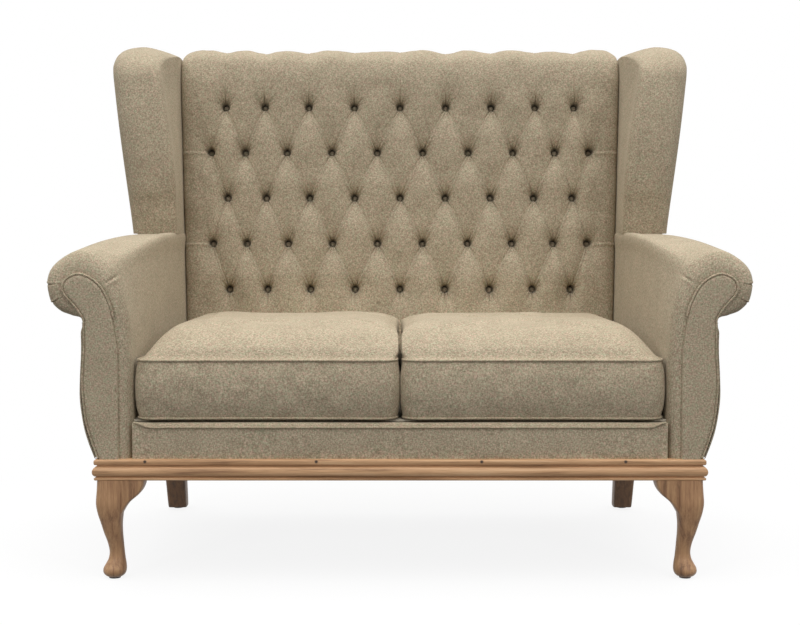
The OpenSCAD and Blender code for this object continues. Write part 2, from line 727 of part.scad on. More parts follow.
// The rear edge at the height of a front point: straight, then rounded up to the top
function wing_rear(s, top_s) =
    [lerp(crest_n, wing_rear_n, sqrt(1 - pow(clamp((s - back_len) / (top_s - back_len)), 2))), s];
wing_levels = len(wing_front(0)) - 1;
wing_middle_share = 0.7;
function wing_middle(front, rear) =
    let (n = min(back_full_t, lerp(rear[0], front[0], wing_middle_share)))
    [n, lerp(rear[1], front[1], (n - rear[0]) / (front[0] - rear[0]))];
function wing_rears(front) = concat([[wing_rear_n, s_at(wing_rear_n, wing_foot_z)]],
    [for (i = [1:wing_levels - 1]) wing_rear(front[i][1], front[wing_levels][1])]);
// Across a wing: its inner face follows the side of the back, then flares with its height
wing_width_shares = [0, 0.04, 0.15, 0.32, 0.5, 0.68, 0.85, 0.96, 1];
wing_flare_from_share = 0.18;
wing_flare_to_share = 1.09;
wing_out_full_share = 0.83;  // share of the height at which the outer face has its full flare
wing_out_power = 1.2;
function wing_up(n, s) = clamp((s - s_at(n, wing_foot_z)) / (wing_top_s - s_at(n, wing_foot_z)));
function wing_in(n, s) =
    let (up = smooth((wing_up(n, s) - wing_flare_from_share) / (wing_flare_to_share - wing_flare_from_share)))
    back_half(s) + fit + clamp((n - back_full_t) / wing_reach)
        * (wing_flare * up - back_widen_share * (s - s_at(n, wing_foot_z)));
function wing_out(n, s) = back_half(s_at(back_full_t, wing_foot_z)) + wing_t
    + wing_flare * pow(min(1, wing_up(n, s) / wing_out_full_share), wing_out_power);
function wing_point(p, w) =
    [lerp(wing_in(p[0], p[1]), wing_out(p[0], p[1]), w), slope_y(p[0], p[1]), slope_z(p[0], p[1])];
// Each ring runs from the rear foot forwards, up the front edge and down the rear edge. Each side of
// the wing is closed by a ladder between the two edges, with a column of points between them.
module wing_form() {
    fronts = [for (w = wing_width_shares)
        wing_front(wing_edge_r * (1 - sqrt(max(0, 1 - pow(2 * w - 1, 2)))))];
    last = len(wing_width_shares) - 1;
    rings = [for (k = [0:last])
        let (front = fronts[k], rear = wing_rears(front))
        [for (p = concat([rear[0], wing_middle(front[0], rear[0])], front,
            [for (i = [wing_levels - 1:-1:1]) rear[i]])) wing_point(p, wing_width_shares[k])]];
    columns = [for (k = [0, last])
        let (front = fronts[k], rear = wing_rears(front))
        [for (i = [1:wing_levels - 1]) wing_point(wing_middle(front[i], rear[i]), wing_width_shares[k])]];
    count = len(rings[0]);
    extra = count * len(rings);
    function ladder(start, column) =
        let (front = [for (i = [0:wing_levels]) start + 2 + i],
             rear = [for (i = [0:wing_levels - 1]) start + (i == 0 ? 0 : count - i)],
             middle = [for (i = [0:wing_levels - 1]) i == 0 ? start + 1 : column + i - 1],
             near_top = wing_levels - 1,
             quads = [for (i = [0:near_top - 1])
                 for (q = [[rear[i], middle[i], middle[i + 1], rear[i + 1]],
                     [middle[i], front[i], front[i + 1], middle[i + 1]]]) q])
        concat([for (q = quads, f = [[q[0], q[1], q[2]], [q[0], q[2], q[3]]]) f],
            [[rear[near_top], middle[near_top], front[wing_levels]],
             [middle[near_top], front[near_top], front[wing_levels]]]);
    polyhedron([for (r = concat(rings, columns), p = r) p],
        concat(strips(len(rings), count), turned(ladder(0, extra)),
            ladder(last * count, extra + wing_levels - 1)));
}
// Wing board, inside the wing, standing on the arm rail and fixed to the back post
board_cover = 52;
board_base_z = arm_rail_z + arm_rail_h;
board_front_y = y_at(wing_front_n(0) - board_cover, board_base_z);
function on_side(points) = [for (p = points) [slope_y(p[0], p[1]), slope_z(p[0], p[1])]];
module board_form(grow) {
    up = wing_front(board_cover - grow);
    rear_n = back_t + fit;
    foot = board_base_z - grow;
    front_n = wing_front_n(0) - board_cover + grow;
    profile = concat([[rear_n, s_at(rear_n, foot)], [front_n, s_at(front_n, foot)]], up,
        [[rear_n, up[wing_levels][1]]]);
    along_x(on_side(profile), board_in - grow, rail_out + grow);
}
module wing_board_right() {
    color(frame_wood) board_form(0);
}
module wing_board_left() {
    mirror([1, 0, 0]) wing_board_right();
}
module wing_pad_right() {
    color(cloth) difference() {
        wing_form();
        board_form(fit);
        behind(pad_back_n, 0, rail_out + fit, back_len + fit);
    }
}
module wing_pad_left() {
    mirror([1, 0, 0]) wing_pad_right();
}

// Back posts, upright and rails, between the webbing and the outside back
post_rear_n = back_panel_t + fit;
module back_post_right() {
    color(frame_wood) difference() {
        along_x(on_side([[post_rear_n, s_at(post_rear_n, plinth_top)], [back_t, s_at(back_t, plinth_top)],
            [back_t, back_len], [post_rear_n, back_len]]), back_post_in, rail_out);
        bolt_shapes(fit);
    }
}
module back_post_left() {
    mirror([1, 0, 0]) back_post_right();
}
back_rail_s = s_at(back_full_t, pad_foot_z);
upright_half = 24;
module crest_rail() {
    color(frame_wood) slope_box(fit - back_post_in, back_post_in - fit, back_panel_t, back_t,
        back_len - post_d, back_len);
}
module back_rail_lower() {
    color(frame_wood) slope_box(fit - back_post_in, back_post_in - fit, back_panel_t, back_t,
        back_rail_s, back_rail_s + post_d);
}
module back_upright() {
    color(frame_wood) slope_box(-upright_half, upright_half, back_panel_t, back_t,
        back_rail_s + post_d + fit, back_len - post_d - fit);
}
strap_w = 50;
strap_count = 7;
strap_rows = 5;
module back_webbing() {
    reach = back_half(back_rail_s) - strap_w;
    half = post_in - fit;
    color(jute) {
        for (i = [0:strap_count - 1])
            let (x = lerp(-reach, reach, i / (strap_count - 1)))
            slope_box(x - strap_w / 2, x + strap_w / 2, back_t, back_t + webbing_t / 2, back_rail_s, back_len);
        for (i = [0:strap_rows - 1])
            let (s = lerp(back_rail_s + post_d, back_len - post_d - strap_w, i / (strap_rows - 1)))
            slope_box(-half, half, back_t + webbing_t / 2, back_t + webbing_t, s, s + strap_w);
    }
}

// Outside back panel, from scroll to scroll and wing to wing
panel_top_draw = 24;
panel_rise_shares = [0, 0.2, 0.4, 0.6, 0.8];
module outside_back() {
    low = [for (i = [arm_points - 1:-1:panel_first]) arm_point(arm_wing_shares[i], arm_rear_y, arm_full_h)];
    low_side = [for (p = low) [p[0] - side_panel_t, max(0, s_at(0, p[1]))]];
    up = [for (t = panel_rise_shares)
        let (s = lerp(s_at(0, wing_base), back_len - panel_top_draw, t)) [wing_out(0, s) - side_panel_t, s]];
    top_x = wing_out(0, back_len) - side_panel_t;
    side = concat(low_side, up, [[top_x, back_len - panel_top_draw], [top_x - panel_top_draw, back_len]]);
    color(cloth_shade) on_slope() rotate([90, 0, 0]) linear_extrude(back_panel_t)
        polygon(concat(side, [for (i = [len(side) - 1:-1:0]) [-side[i][0], side[i][1]]]));
}

// Buttoned padding of the inside back. Buttons lie on a lattice of half pitches across, u, and
// rows up the slope, v, wherever u + v is even; pleats join them into tall diamonds.
button_margin = 48;  // least room between the outermost buttons and the sides of the back
row_count = 5;
edge_draw_share = 0.078;
top_v = row_count - 1;
low_row_s = back_len - top_row_drop - top_v * row_pitch;
// Half pitches from the middle to the outermost buttons
lattice_half = floor((back_half(low_row_s + top_v / 2 * row_pitch) - button_margin / 2) / (button_pitch / 2));
foot_v = (back_rail_s - low_row_s) / row_pitch;
function lattice_x(u) = button_pitch / 2 * u * (1 - edge_draw_share * pow(u / lattice_half, 4));
function spread(s) = back_half(s) / back_half(low_row_s + top_v / 2 * row_pitch);
cols = 2 * lattice_half + 2;
function col_u(c) = sign(c) * min(abs(c) / 2, lattice_half);
function col_x(c, s) =
    let (x = lattice_x(col_u(c)) * spread(s), beyond = max(0, abs(c) / 2 - lattice_half))
    sign(c) * lerp(abs(x), back_half(s), beyond);
puff_power = 0.7;
function swell(share) = pow(sin(180 * share), puff_power);
function pad_drop(u, v) =
    let (cu = min(lattice_half, max(-lattice_half, u)), cv = min(top_v, max(0, v)),
         a = (cu + cv) / 2, b = (cu - cv) / 2,
         puff = swell(abs(a - round(a))) * swell(abs(b - round(b))),
         reach = norm([u - round(u), v - round(v)]) * 2,
         at_button = (round(u) + round(v)) % 2 == 0 && v > -0.5 && v < top_v + 0.5 ? max(0, 1 - reach) : 0)
    pleat_depth * (1 - puff) + (button_depth - pleat_depth) * at_button;
edge_round_shares = [0.5, 0.15];
function edge_drop(c) =
    let (from_edge = cols - abs(c)) from_edge < 2 ? edge_round_shares[from_edge] * pleat_depth : 0;
// Rows of the surface: v up to the crest's foot, then an angle over the crest
foot_shares = [1, 0.75, 0.5, 0.25];
above_share = 0.45;
pad_vs = concat([for (t = foot_shares) foot_v * t], [for (j = [0:2 * top_v]) j / 2],
    [top_v + above_share, (back_len - low_row_s) / row_pitch]);
pleat_fade_from = 44;  // degrees over the crest at which the pleats start to fade, and run out
pleat_fade_to = 154;
crest_angles = [22, 45, 70, 95, 125, 155, 180];
function pad_point(c, v) =
    let (n = back_full_t - pad_drop(col_u(c), v) - edge_drop(c),
         s = v == foot_v ? s_at(n, pad_foot_z) : low_row_s + v * row_pitch)
    [col_x(c, s), n, s];
function crest_point(c, angle) =
    let (drop = (pad_drop(col_u(c), top_v + 1) + edge_drop(c)) 
            * clamp((pleat_fade_to - angle) / (pleat_fade_to - pleat_fade_from)),
         n = crest_n + (crest_n - drop) * cos(angle),
         s = back_len + fit + (crest_h - drop) * sin(angle))
    [col_x(c, s), n, s];
function pad_ring(c) = concat(
    [for (v = pad_vs) pad_point(c, v)],
    [for (a = crest_angles) crest_point(c, a)],
    [for (s = [back_len + fit, s_at(pad_back_n, pad_foot_z)]) [col_x(c, s), pad_back_n, s]]);
function on_back(p) = [p[0], slope_y(p[1], p[2]), slope_z(p[1], p[2])];
module back_pad() {
    count = len(pad_vs) + len(crest_angles) + 2;
    rings = [for (c = [-cols:cols]) pad_ring(c)];
    foot_rows = len(foot_shares);
    last = 2 * cols * count;
    corner = count - 2;  // the rear corner under the crest, which sees the whole of a side
    sides = [for (k = [0:2 * cols - 1], i = [0:count - 1])
        let (a = k * count + i, b = k * count + (i + 1) % count,
             c = k - cols, j = i - foot_rows,
             falling = (c - j + 4 * cols) % 4 == 2 || (c + j + 4 * cols) % 4 == 3)
        for (f = falling ? [[a, b, a + count], [b, b + count, a + count]]
                : [[a, b, b + count], [a, b + count, a + count]]) f];
    caps = [for (i = [count - 1:2 * count - 4])
        let (a = i % count, b = (i + 1) % count)
        for (f = [[corner, b, a], [last + corner, last + a, last + b]]) f];
    color(cloth) polyhedron([for (r = rings, p = r) on_back(p)], concat(sides, caps));
}

// Covered buttons, drawn down into the padding
button_places = [for (j = [0:row_count - 1], u = [-lattice_half:lattice_half])
    if ((u + j + 2 * lattice_half) % 2 == 0) [u, j]];
button_profile_shares = [[0, 0], [1, 0], [1, 0.2], [0.82, 0.5], [0.5, 0.66], [0, 0.72]];
function button_seat(u) =
    let (steep = (button_depth - pad_drop(abs(u) - 0.5, abs(u) % 2))
            / (lattice_x(abs(u)) - lattice_x(abs(u) - 0.5)))
    button_r * abs(steep) + 2 * fit;
module back_buttons() {
    color(cloth) on_slope() for (p = button_places)
        let (s = low_row_s + p[1] * row_pitch)
        translate([lattice_x(p[0]) * spread(s), button_depth - back_full_t - button_seat(p[0]), s])
            rotate([90, 0, 0]) rotate_extrude() polygon(button_r * button_profile_shares);
}

// Seat cushions: loose boxed cushions, piped round both seams, the right one drawn
low_seam_z = border_top + fit + underside_h;
top_seam_z = low_seam_z + boxing_h;
seam_set = 2 * piping_r + fit;
cushion_in = cushion_gap / 2 + seam_set;
cushion_front_y = border_face_y + seam_set;
cushion_rear_y = pad_front_y - seat_clear - seam_set;
function cushion_out(y) = inside_x(y, pad_foot_z) - seat_clear - seam_set;
cushion_core_half = min(cushion_rear_y - cushion_front_y, cushion_out(cushion_rear_y) - cushion_in) / 2
    - 2 * cover_t;
arc_steps = 3;
side_shares = [0.25, 0.5, 0.75];
corner_keep_share = 0.9;
// Plan of a cushion, inset by a number of millimetres, anticlockwise from its front inner corner
function plan_ring(inset) =
    let (y0 = cushion_front_y + inset, y1 = cushion_rear_y - inset,
         spare = (min(cushion_out(y1) - cushion_in, y1 - y0 + 2 * inset) / 2 - inset) * corner_keep_share,
         r = min(cushion_corner_r + abs(inset) / 2, spare),
         draw = seam_draw_in * clamp(1 - abs(inset) / cushion_corner_r / 2),
         corners = [[cushion_in + inset, y0], [cushion_out(y0 + cushion_corner_r) - inset, y0],
             [cushion_out(y1) - inset, y1], [cushion_in + inset, y1]],
         into = [[1, 1], [-1, 1], [-1, -1], [1, -1]],
         across = [[0, 1], [-1, 0], [0, -1], [1, 0]])
    [for (k = [0:3])
        let (centre = corners[k] + r * into[k],
             next = corners[(k + 1) % 4] + r * into[(k + 1) % 4],
             side = -r * across[k])
        for (p = concat(
            [for (i = [0:arc_steps]) let (a = 180 + 90 * k + 90 * i / arc_steps) centre + r * [cos(a), sin(a)]],
            [for (t = side_shares) lerp(centre, next, t) + side + draw * sin(180 * t) * across[k]])) p];
under_shares = [0.5, 0.3, 0.12, 0.04, 0];
boxing_shares = [[0.2, 0.7], [0.5, 1], [0.8, 0.7]];
crown_shares = [0, 0.03, 0.09, 0.19, 0.34, 0.58, 0.92];
crown_power = 4.2;
under_rise = 2.8;  // how steeply the underside rises to its seam
function cushion_rings(skin) = concat(
    [for (t = under_shares) [plan_ring(t * cushion_core_half + skin),
        low_seam_z - underside_h * (1 - pow(max(0, 1 - t * under_rise), 2)) + skin]],
    [for (b = boxing_shares) [plan_ring(skin - b[1] * boxing_bulge), low_seam_z + b[0] * boxing_h]],
    [for (t = crown_shares) [plan_ring(t * cushion_core_half + skin),
        top_seam_z + crown_h * (1 - pow(1 - t, crown_power)) - skin]]);
module cushion_form(skin) {
    loft([for (r = cushion_rings(skin)) [for (p = r[0]) [p[0], p[1], r[1]]]], fans = true);
}
module cushion_cover_right() {
    color(cloth) difference() {
        cushion_form(0);
        cushion_form(cover_t);
    }
}
module cushion_cover_left() {
    mirror([1, 0, 0]) cushion_cover_right();
}
module cushion_core_right() {
    color(foam) cushion_form(cover_t + fit);
}
module cushion_core_left() {
    mirror([1, 0, 0]) cushion_core_right();
}
module cushion_piping_right() {
    color(cloth) for (z = [low_seam_z, top_seam_z])
        cord([for (p = plan_ring(-piping_r - fit)) [p[0], p[1], z]], piping_r, closed = true);
}
module cushion_piping_left() {
    mirror([1, 0, 0]) cushion_piping_right();
}
zip_t = 1.2;
zip_h = 12;
zip_first = 3 * (arc_steps + 1) + 2 * len(side_shares) - 1;
module cushion_zip_right() {
    ring = plan_ring(-boxing_bulge);
    line = [for (i = [zip_first:zip_first + 4]) ring[i]];
    near = shifted(line, fit);
    far = shifted(line, fit + zip_t);
    color(cloth_shade) translate([0, 0, low_seam_z + (boxing_h - zip_h) / 2]) linear_extrude(zip_h)
        polygon(concat(near, [for (i = [len(far) - 1:-1:0]) far[i]]));
}
module cushion_zip_left() {
    mirror([1, 0, 0]) cushion_zip_right();
}

front_leg_left();
front_leg_right();
knee_ears_left();
knee_ears_right();
rear_leg_left();
rear_leg_right();
glides();
leg_bolts();
corner_blocks();
plinth_front();
plinth_left();
plinth_right();
plinth_back();
dust_cover();
seat_rail_front();
seat_rail_back();
seat_rail_left();
seat_rail_right();
seat_rail_centre();
seat_springs();
spring_clips();
seat_platform();
front_border();
border_piping();
arm_post_left();
arm_post_right();
arm_rail_left();
arm_rail_right();
tacking_rail_left();
tacking_rail_right();
arm_pad_left();
arm_pad_right();
arm_facing_left();
arm_facing_right();
facing_piping_left();
facing_piping_right();
outside_arm_left();
outside_arm_right();
wing_board_left();
wing_board_right();
wing_pad_left();
wing_pad_right();
back_post_left();
back_post_right();
back_upright();
crest_rail();
back_rail_lower();
back_webbing();
back_pad();
back_buttons();
outside_back();
cushion_cover_left();
cushion_core_left();
cushion_piping_left();
cushion_zip_left();
cushion_cover_right();
cushion_core_right();
cushion_piping_right();
cushion_zip_right();
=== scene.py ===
# Dresses the high back settee: tweed cover over scroll arms, wings, a deep-buttoned back and two
# loose cushions, on a waxed oak plinth with cabriole front legs and raked rear legs.
# Lengths are in millimetres here and turn into metres when a piece is made. Left is -X.
import math

import bmesh
import bpy
import numpy as np
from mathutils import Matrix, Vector


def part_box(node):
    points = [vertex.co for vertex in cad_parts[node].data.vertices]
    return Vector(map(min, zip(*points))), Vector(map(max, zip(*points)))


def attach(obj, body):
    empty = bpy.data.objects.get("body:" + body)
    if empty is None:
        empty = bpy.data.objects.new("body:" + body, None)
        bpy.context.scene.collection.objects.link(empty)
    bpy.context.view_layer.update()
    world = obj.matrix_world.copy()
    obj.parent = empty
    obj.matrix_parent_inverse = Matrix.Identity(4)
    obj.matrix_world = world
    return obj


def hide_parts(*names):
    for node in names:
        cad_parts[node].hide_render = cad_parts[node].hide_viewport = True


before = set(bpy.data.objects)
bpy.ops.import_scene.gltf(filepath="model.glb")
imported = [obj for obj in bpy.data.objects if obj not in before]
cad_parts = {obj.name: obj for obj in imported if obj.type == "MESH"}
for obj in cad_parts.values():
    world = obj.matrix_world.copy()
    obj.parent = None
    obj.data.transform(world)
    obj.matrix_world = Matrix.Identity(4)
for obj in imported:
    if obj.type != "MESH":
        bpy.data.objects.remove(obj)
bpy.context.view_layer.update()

# The settee's own sizes
OVERALL_W, OVERALL_D, OVERALL_H = 1446, 850, 1156
SEAT_W, SEAT_REAR_W = 1102, 1023
LEG_H, PLINTH_H, PLINTH_W, PLINTH_PROUD, PLINTH_HALF = 208, 43, 62, 7, 629
BORDER_H, BORDER_T = 78, 24
ARM_H, ARM_RISE, FACING_T, ARM_EDGE_D, PANEL_T = 422, 29, 8, 28, 6
WING_REACH, WING_SWELL, WING_T, WING_FLARE, WING_EDGE_R = 122, 46, 107, 52, 44
RAKE = math.radians(9)
PAD_T, BUTTON_PITCH, ROW_PITCH, TOP_ROW_DROP = 111, 110.8, 112.2, 109.5
BUTTON_R, CREST_H = 6.6, 48
BOXING_H, CROWN_H, UNDERSIDE_H, CORNER_R, PIPING_R = 119, 74, 4, 34, 3
CUSHION_GAP, SEAT_CLEAR = 1.2, 2
WELT_R = 2.4  # the cord's visible half, drawn into its seam
FIT = 0.3
LEG_HALF, REAR_LEG_W, REAR_LEG_SWEEP, REAR_LEG_INSET, GLIDE_T = 28, 52, 74, 20, 3
POST_D, WEBBING_T, ARM_PAD_T, RAIL_T = 45, 2, 32, 28
BACK_WIDEN = 0.037  # how much wider each half of the back gets for each millimetre up

PLINTH_TOP = LEG_H + PLINTH_H
BORDER_TOP = PLINTH_TOP + BORDER_H
WING_FOOT_Z = PLINTH_TOP + ARM_H + ARM_RISE + FIT
FRONT_Y = -OVERALL_D / 2 + PLINTH_PROUD
BACK_PANEL_T = 6
BACK_T = BACK_PANEL_T + POST_D
PAD_BACK_N = BACK_T + WEBBING_T + FIT
BACK_FULL_T = PAD_BACK_N + PAD_T
CREST_N = BACK_FULL_T / 2
SIN, COS = math.sin(RAKE), math.cos(RAKE)
BACK_LEN = (OVERALL_H - PLINTH_TOP - CREST_N * SIN) / COS - CREST_H
BACK_Y = OVERALL_D / 2 - BACK_LEN * SIN
FOOT_Z = BORDER_TOP + FIT


# The back's own frame: n forwards from its rear plane, s up its slope from the plinth
def slope_y(n, s):
    return BACK_Y + s * SIN - n * COS


def slope_z(n, s):
    return PLINTH_TOP + s * COS + n * SIN


def s_at(n, z):
    return (z - PLINTH_TOP - n * SIN) / COS


def on_slope(x, n, s):
    """Points of the back, from its own frame."""
    return np.stack(np.broadcast_arrays(x, slope_y(n, s), slope_z(n, s)), -1)


def back_half(s):
    return SEAT_REAR_W / 2 + BACK_WIDEN * (s - s_at(BACK_FULL_T, FOOT_Z))


PAD_FRONT_Y = slope_y(BACK_FULL_T, s_at(BACK_FULL_T, FOOT_Z))


def mix(a, b, share):
    return a + (b - a) * share


def unit(share):
    return np.clip(share, 0, 1)


def smooth(share):
    c = unit(share)
    return c * c * (3 - 2 * c)


def inside_x(y, z):
    """Inside face of an arm: straight from its front to the side of the back."""
    y, z = np.broadcast_arrays(np.asarray(y, float), np.asarray(z, float))
    slope_s = (z - PLINTH_TOP) * COS + (np.maximum(y, PAD_FRONT_Y) - BACK_Y) * SIN
    along = unit((y - FRONT_Y) / (PAD_FRONT_Y - FRONT_Y))
    return mix(SEAT_W / 2, back_half(slope_s) + FIT, along)


def through(points, per):
    """A smooth line through points, with a number of steps between neighbours."""
    p = np.asarray(points, float)
    last = len(p) - 1
    t = np.arange(per)[:, None] / per
    rows = []
    for i in range(last):
        a, b, c, d = (p[min(max(j, 0), last)] for j in range(i - 1, i + 3))
        rows.append(0.5 * (2 * b + (c - a) * t + (2 * a - 5 * b + 4 * c - d) * t ** 2
                           + (3 * b - a - 3 * c + d) * t ** 3))
    return np.concatenate(rows + [p[-1:]])


def walked(points):
    """Distance along a line of points."""
    steps = np.linalg.norm(np.diff(points, axis=0), axis=1)
    return np.concatenate([[0], np.cumsum(steps)])


def even(points, spacing, closed=False):
    """The same line with points a steady distance apart."""
    p = np.asarray(points, float)
    if closed:
        p = np.concatenate([p, p[:1]])
    far = walked(p)
    count = max(4, int(round(far[-1] / spacing)))
    at = np.linspace(0, far[-1], count + 1)
    line = np.stack([np.interp(at, far, p[:, k]) for k in range(p.shape[1])], 1)
    return line[:-1] if closed else line


def beside(path, dist):
    """A flat path moved sideways, to the right of its course."""
    p = np.asarray(path, float)
    run = np.gradient(p, axis=0)
    run = run / np.linalg.norm(run, axis=1)[:, None]
    return p + dist * np.stack([run[:, 1], -run[:, 0]], 1)


def mirrored(sheets):
    return [np.asarray(s) * [-1, 1, 1] for s in sheets]


SIDES = (("right", list), ("left", mirrored))
QUARTER = np.radians(np.arange(15, 91, 15))  # the steps of a rounded edge


def at_height(loop, z):
    """The points (x, y) of a loop at one height, or each at its own."""
    return np.column_stack([loop, np.broadcast_to(z, len(loop))])


def at_depth(line, y):
    """The points (x, z) of a line at one depth."""
    return np.column_stack([line[:, 0], np.full(len(line), y), line[:, 1]])


def squarish(centre, reach, power, z, steps):
    """A level loop between a circle (power 1) and a square (power 0)."""
    a = np.linspace(0, 2 * math.pi, steps)
    x, y = (np.sign(v) * np.abs(v) ** power for v in (np.cos(a), np.sin(a)))
    return at_height(np.stack([centre[0] + reach * x, centre[1] + reach * y], 1), z)


def in_scene(name, data):
    thing = bpy.data.objects.new(name, data)
    bpy.context.scene.collection.objects.link(thing)
    return thing


# Pieces: sheets of points, each rows by columns by 3, welded along their common edges
def make_piece(name, sheets, finish, body="frame", sharp=55, faces=()):
    """One mesh with its cloth map in metres; faces are loops of points that close openings, and edges
    sharper than the angle in degrees stay crisp."""
    verts, quads, uvs = [], [], []
    start = 0
    for sheet in sheets:
        g = np.asarray(sheet, float)
        rows, cols = g.shape[:2]
        across = np.stack([walked(row) for row in g])
        along = np.stack([walked(g[:, c]) for c in range(cols)], 1)
        across -= across[:, cols // 2][:, None]
        verts.append(g.reshape(-1, 3))
        for r in range(rows - 1):
            for c in range(cols - 1):
                corners = [(r, c), (r, c + 1), (r + 1, c + 1), (r + 1, c)]
                quads.append([start + i * cols + j for i, j in corners])
                uvs.append([(across[i, j], along[i, j]) for i, j in corners])
        start += rows * cols
    for loop in faces:
        g = np.asarray(loop, float)
        verts.append(g)
        quads.append(list(range(start, start + len(g))))
        flat = np.argsort(np.ptp(g, axis=0))[1:]
        uvs.append([(p[flat.min()], p[flat.max()]) for p in g])
        start += len(g)
    points = np.concatenate(verts) / 1000
    mesh = bpy.data.meshes.new(name)
    mesh.from_pydata(points.tolist(), [], quads)
    layer = mesh.uv_layers.new(name="cloth")
    flat_uv = np.array([c for face in uvs for c in face], np.float32) / 1000
    layer.data.foreach_set("uv", flat_uv.ravel())
    bm = bmesh.new()
    bm.from_mesh(mesh)
    bmesh.ops.remove_doubles(bm, verts=bm.verts, dist=2e-5)
    bmesh.ops.dissolve_degenerate(bm, edges=bm.edges, dist=1e-6)
    bmesh.ops.recalc_face_normals(bm, faces=bm.faces)
    bm.to_mesh(mesh)
    bm.free()
    mesh.polygons.foreach_set("use_smooth", [True] * len(mesh.polygons))
    mesh.set_sharp_from_angle(angle=math.radians(sharp))
    mesh.materials.append(finish)
    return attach(in_scene(name, mesh), body)


def stand_in(piece, node):
    """The piece takes the place of a CAD node, which is hidden."""
    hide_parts(node)
    return piece


def tube(path, radius, closed=False, sides=12):
    """Rows of a round cord along a path; radius may change along it."""
    p = np.asarray(path, float)
    n = len(p)
    run = np.roll(p, -1, 0) - np.roll(p, 1, 0) if closed else np.gradient(p, axis=0)
    run /= np.linalg.norm(run, axis=1)[:, None]
    side = np.zeros_like(p)
    guide = np.array([0.0, 0, 1]) if abs(run[0][2]) < 0.9 else np.array([0.0, 1, 0])
    for i in range(n):
        flat = guide - run[i] * (guide @ run[i])
        side[i] = guide = flat / np.linalg.norm(flat)
    if closed:
        # Spread the frame's twist over the loop, so that its ends meet
        flat = side[-1] - run[0] * (side[-1] @ run[0])
        flat /= np.linalg.norm(flat)
        twist = math.atan2(np.cross(flat, side[0]) @ run[0], flat @ side[0])
        turn = np.linspace(0, twist, n)
        other = np.cross(run, side)
        side = side * np.cos(turn)[:, None] + other * np.sin(turn)[:, None]
    up = np.cross(run, side)
    a = np.linspace(0, 2 * math.pi, sides + 1)
    r = np.broadcast_to(np.asarray(radius, float), (n,))
    rows = p[:, None] + r[:, None, None] * (np.cos(a)[None, :, None] * side[:, None]
                                            + np.sin(a)[None, :, None] * up[:, None])
    return np.concatenate([rows, rows[:1]]) if closed else rows


def capped(rows):
    """The faces that close the two ends of a tube or loft."""
    return [rows[0][:-1][::-1], rows[-1][:-1]]


def dress(name, node, sheets, finish, body="frame", sharp=55,
          faces=None):
    """A piece in the place of one CAD node, its sheets closed at both ends unless faces are given."""
    if faces is None:
        faces = [face for rows in sheets for face in capped(rows)]
    return stand_in(make_piece(name, sheets, finish, body, sharp, faces), node)


# Finishes
def colour(code):
    """sRGB hex to the linear colour that the shaders take."""
    channels = [int(code[i:i + 2], 16) / 255 for i in (1, 3, 5)]
    return [c / 12.92 if c <= 0.04045 else ((c + 0.055) / 1.055) ** 2.4 for c in channels] + [1]


def add(tree, kind, settings=None, inputs=None, stops=None):
    """Adds one node with its settings, its sockets' values or links, and a ramp's stops."""
    node = tree.nodes.new("ShaderNode" + kind)
    for key, value in (settings or {}).items():
        setattr(node, key, value)
    for key, value in (inputs or {}).items():
        if isinstance(value, bpy.types.NodeSocket):
            tree.links.new(value, node.inputs[key])
        else:
            node.inputs[key].default_value = value
    for i, (at, code) in enumerate(stops or []):
        ramp = node.color_ramp.elements
        stop = ramp[i] if i < 2 else ramp.new(at)
        stop.position, stop.color = at, colour(code)
    return node


def reckon(tree, operation, *values):
    """The result of one Math node."""
    return add(tree, "Math", {"operation": operation}, dict(enumerate(values))).outputs[0]


def new_finish(name, sockets):
    """A material with its Principled shader's constant sockets set."""
    finish = bpy.data.materials.new(name)
    finish.use_nodes = True
    shader = finish.node_tree.nodes["Principled BSDF"]
    for key, value in sockets.items():
        shader.inputs[key].default_value = value
    return finish, finish.node_tree, shader


def grains(tree, place, scale, detail, roughness=0.6, warp=0.0, shift=0.0):
    """Noise with grains of 1 / scale metres on each axis."""
    at = add(tree, "Mapping", inputs={"Vector": place, "Location": (shift, shift, 0),
                                      "Scale": scale}).outputs[0]
    return add(tree, "TexNoise", inputs={"Vector": at, "Scale": 1, "Detail": detail,
                                         "Roughness": roughness, "Distortion": warp}).outputs[0]


def bump(tree, shader, height, strength, distance_mm):
    node = add(tree, "Bump", inputs={"Strength": strength, "Distance": distance_mm / 1000,
                                     "Height": height})
    tree.links.new(node.outputs[0], shader.inputs["Normal"])


FLECK_MM = THREAD_MM = 2.2
WAVE_REACH = 0.314  # a wave texture's bands are this far apart at a scale of 1


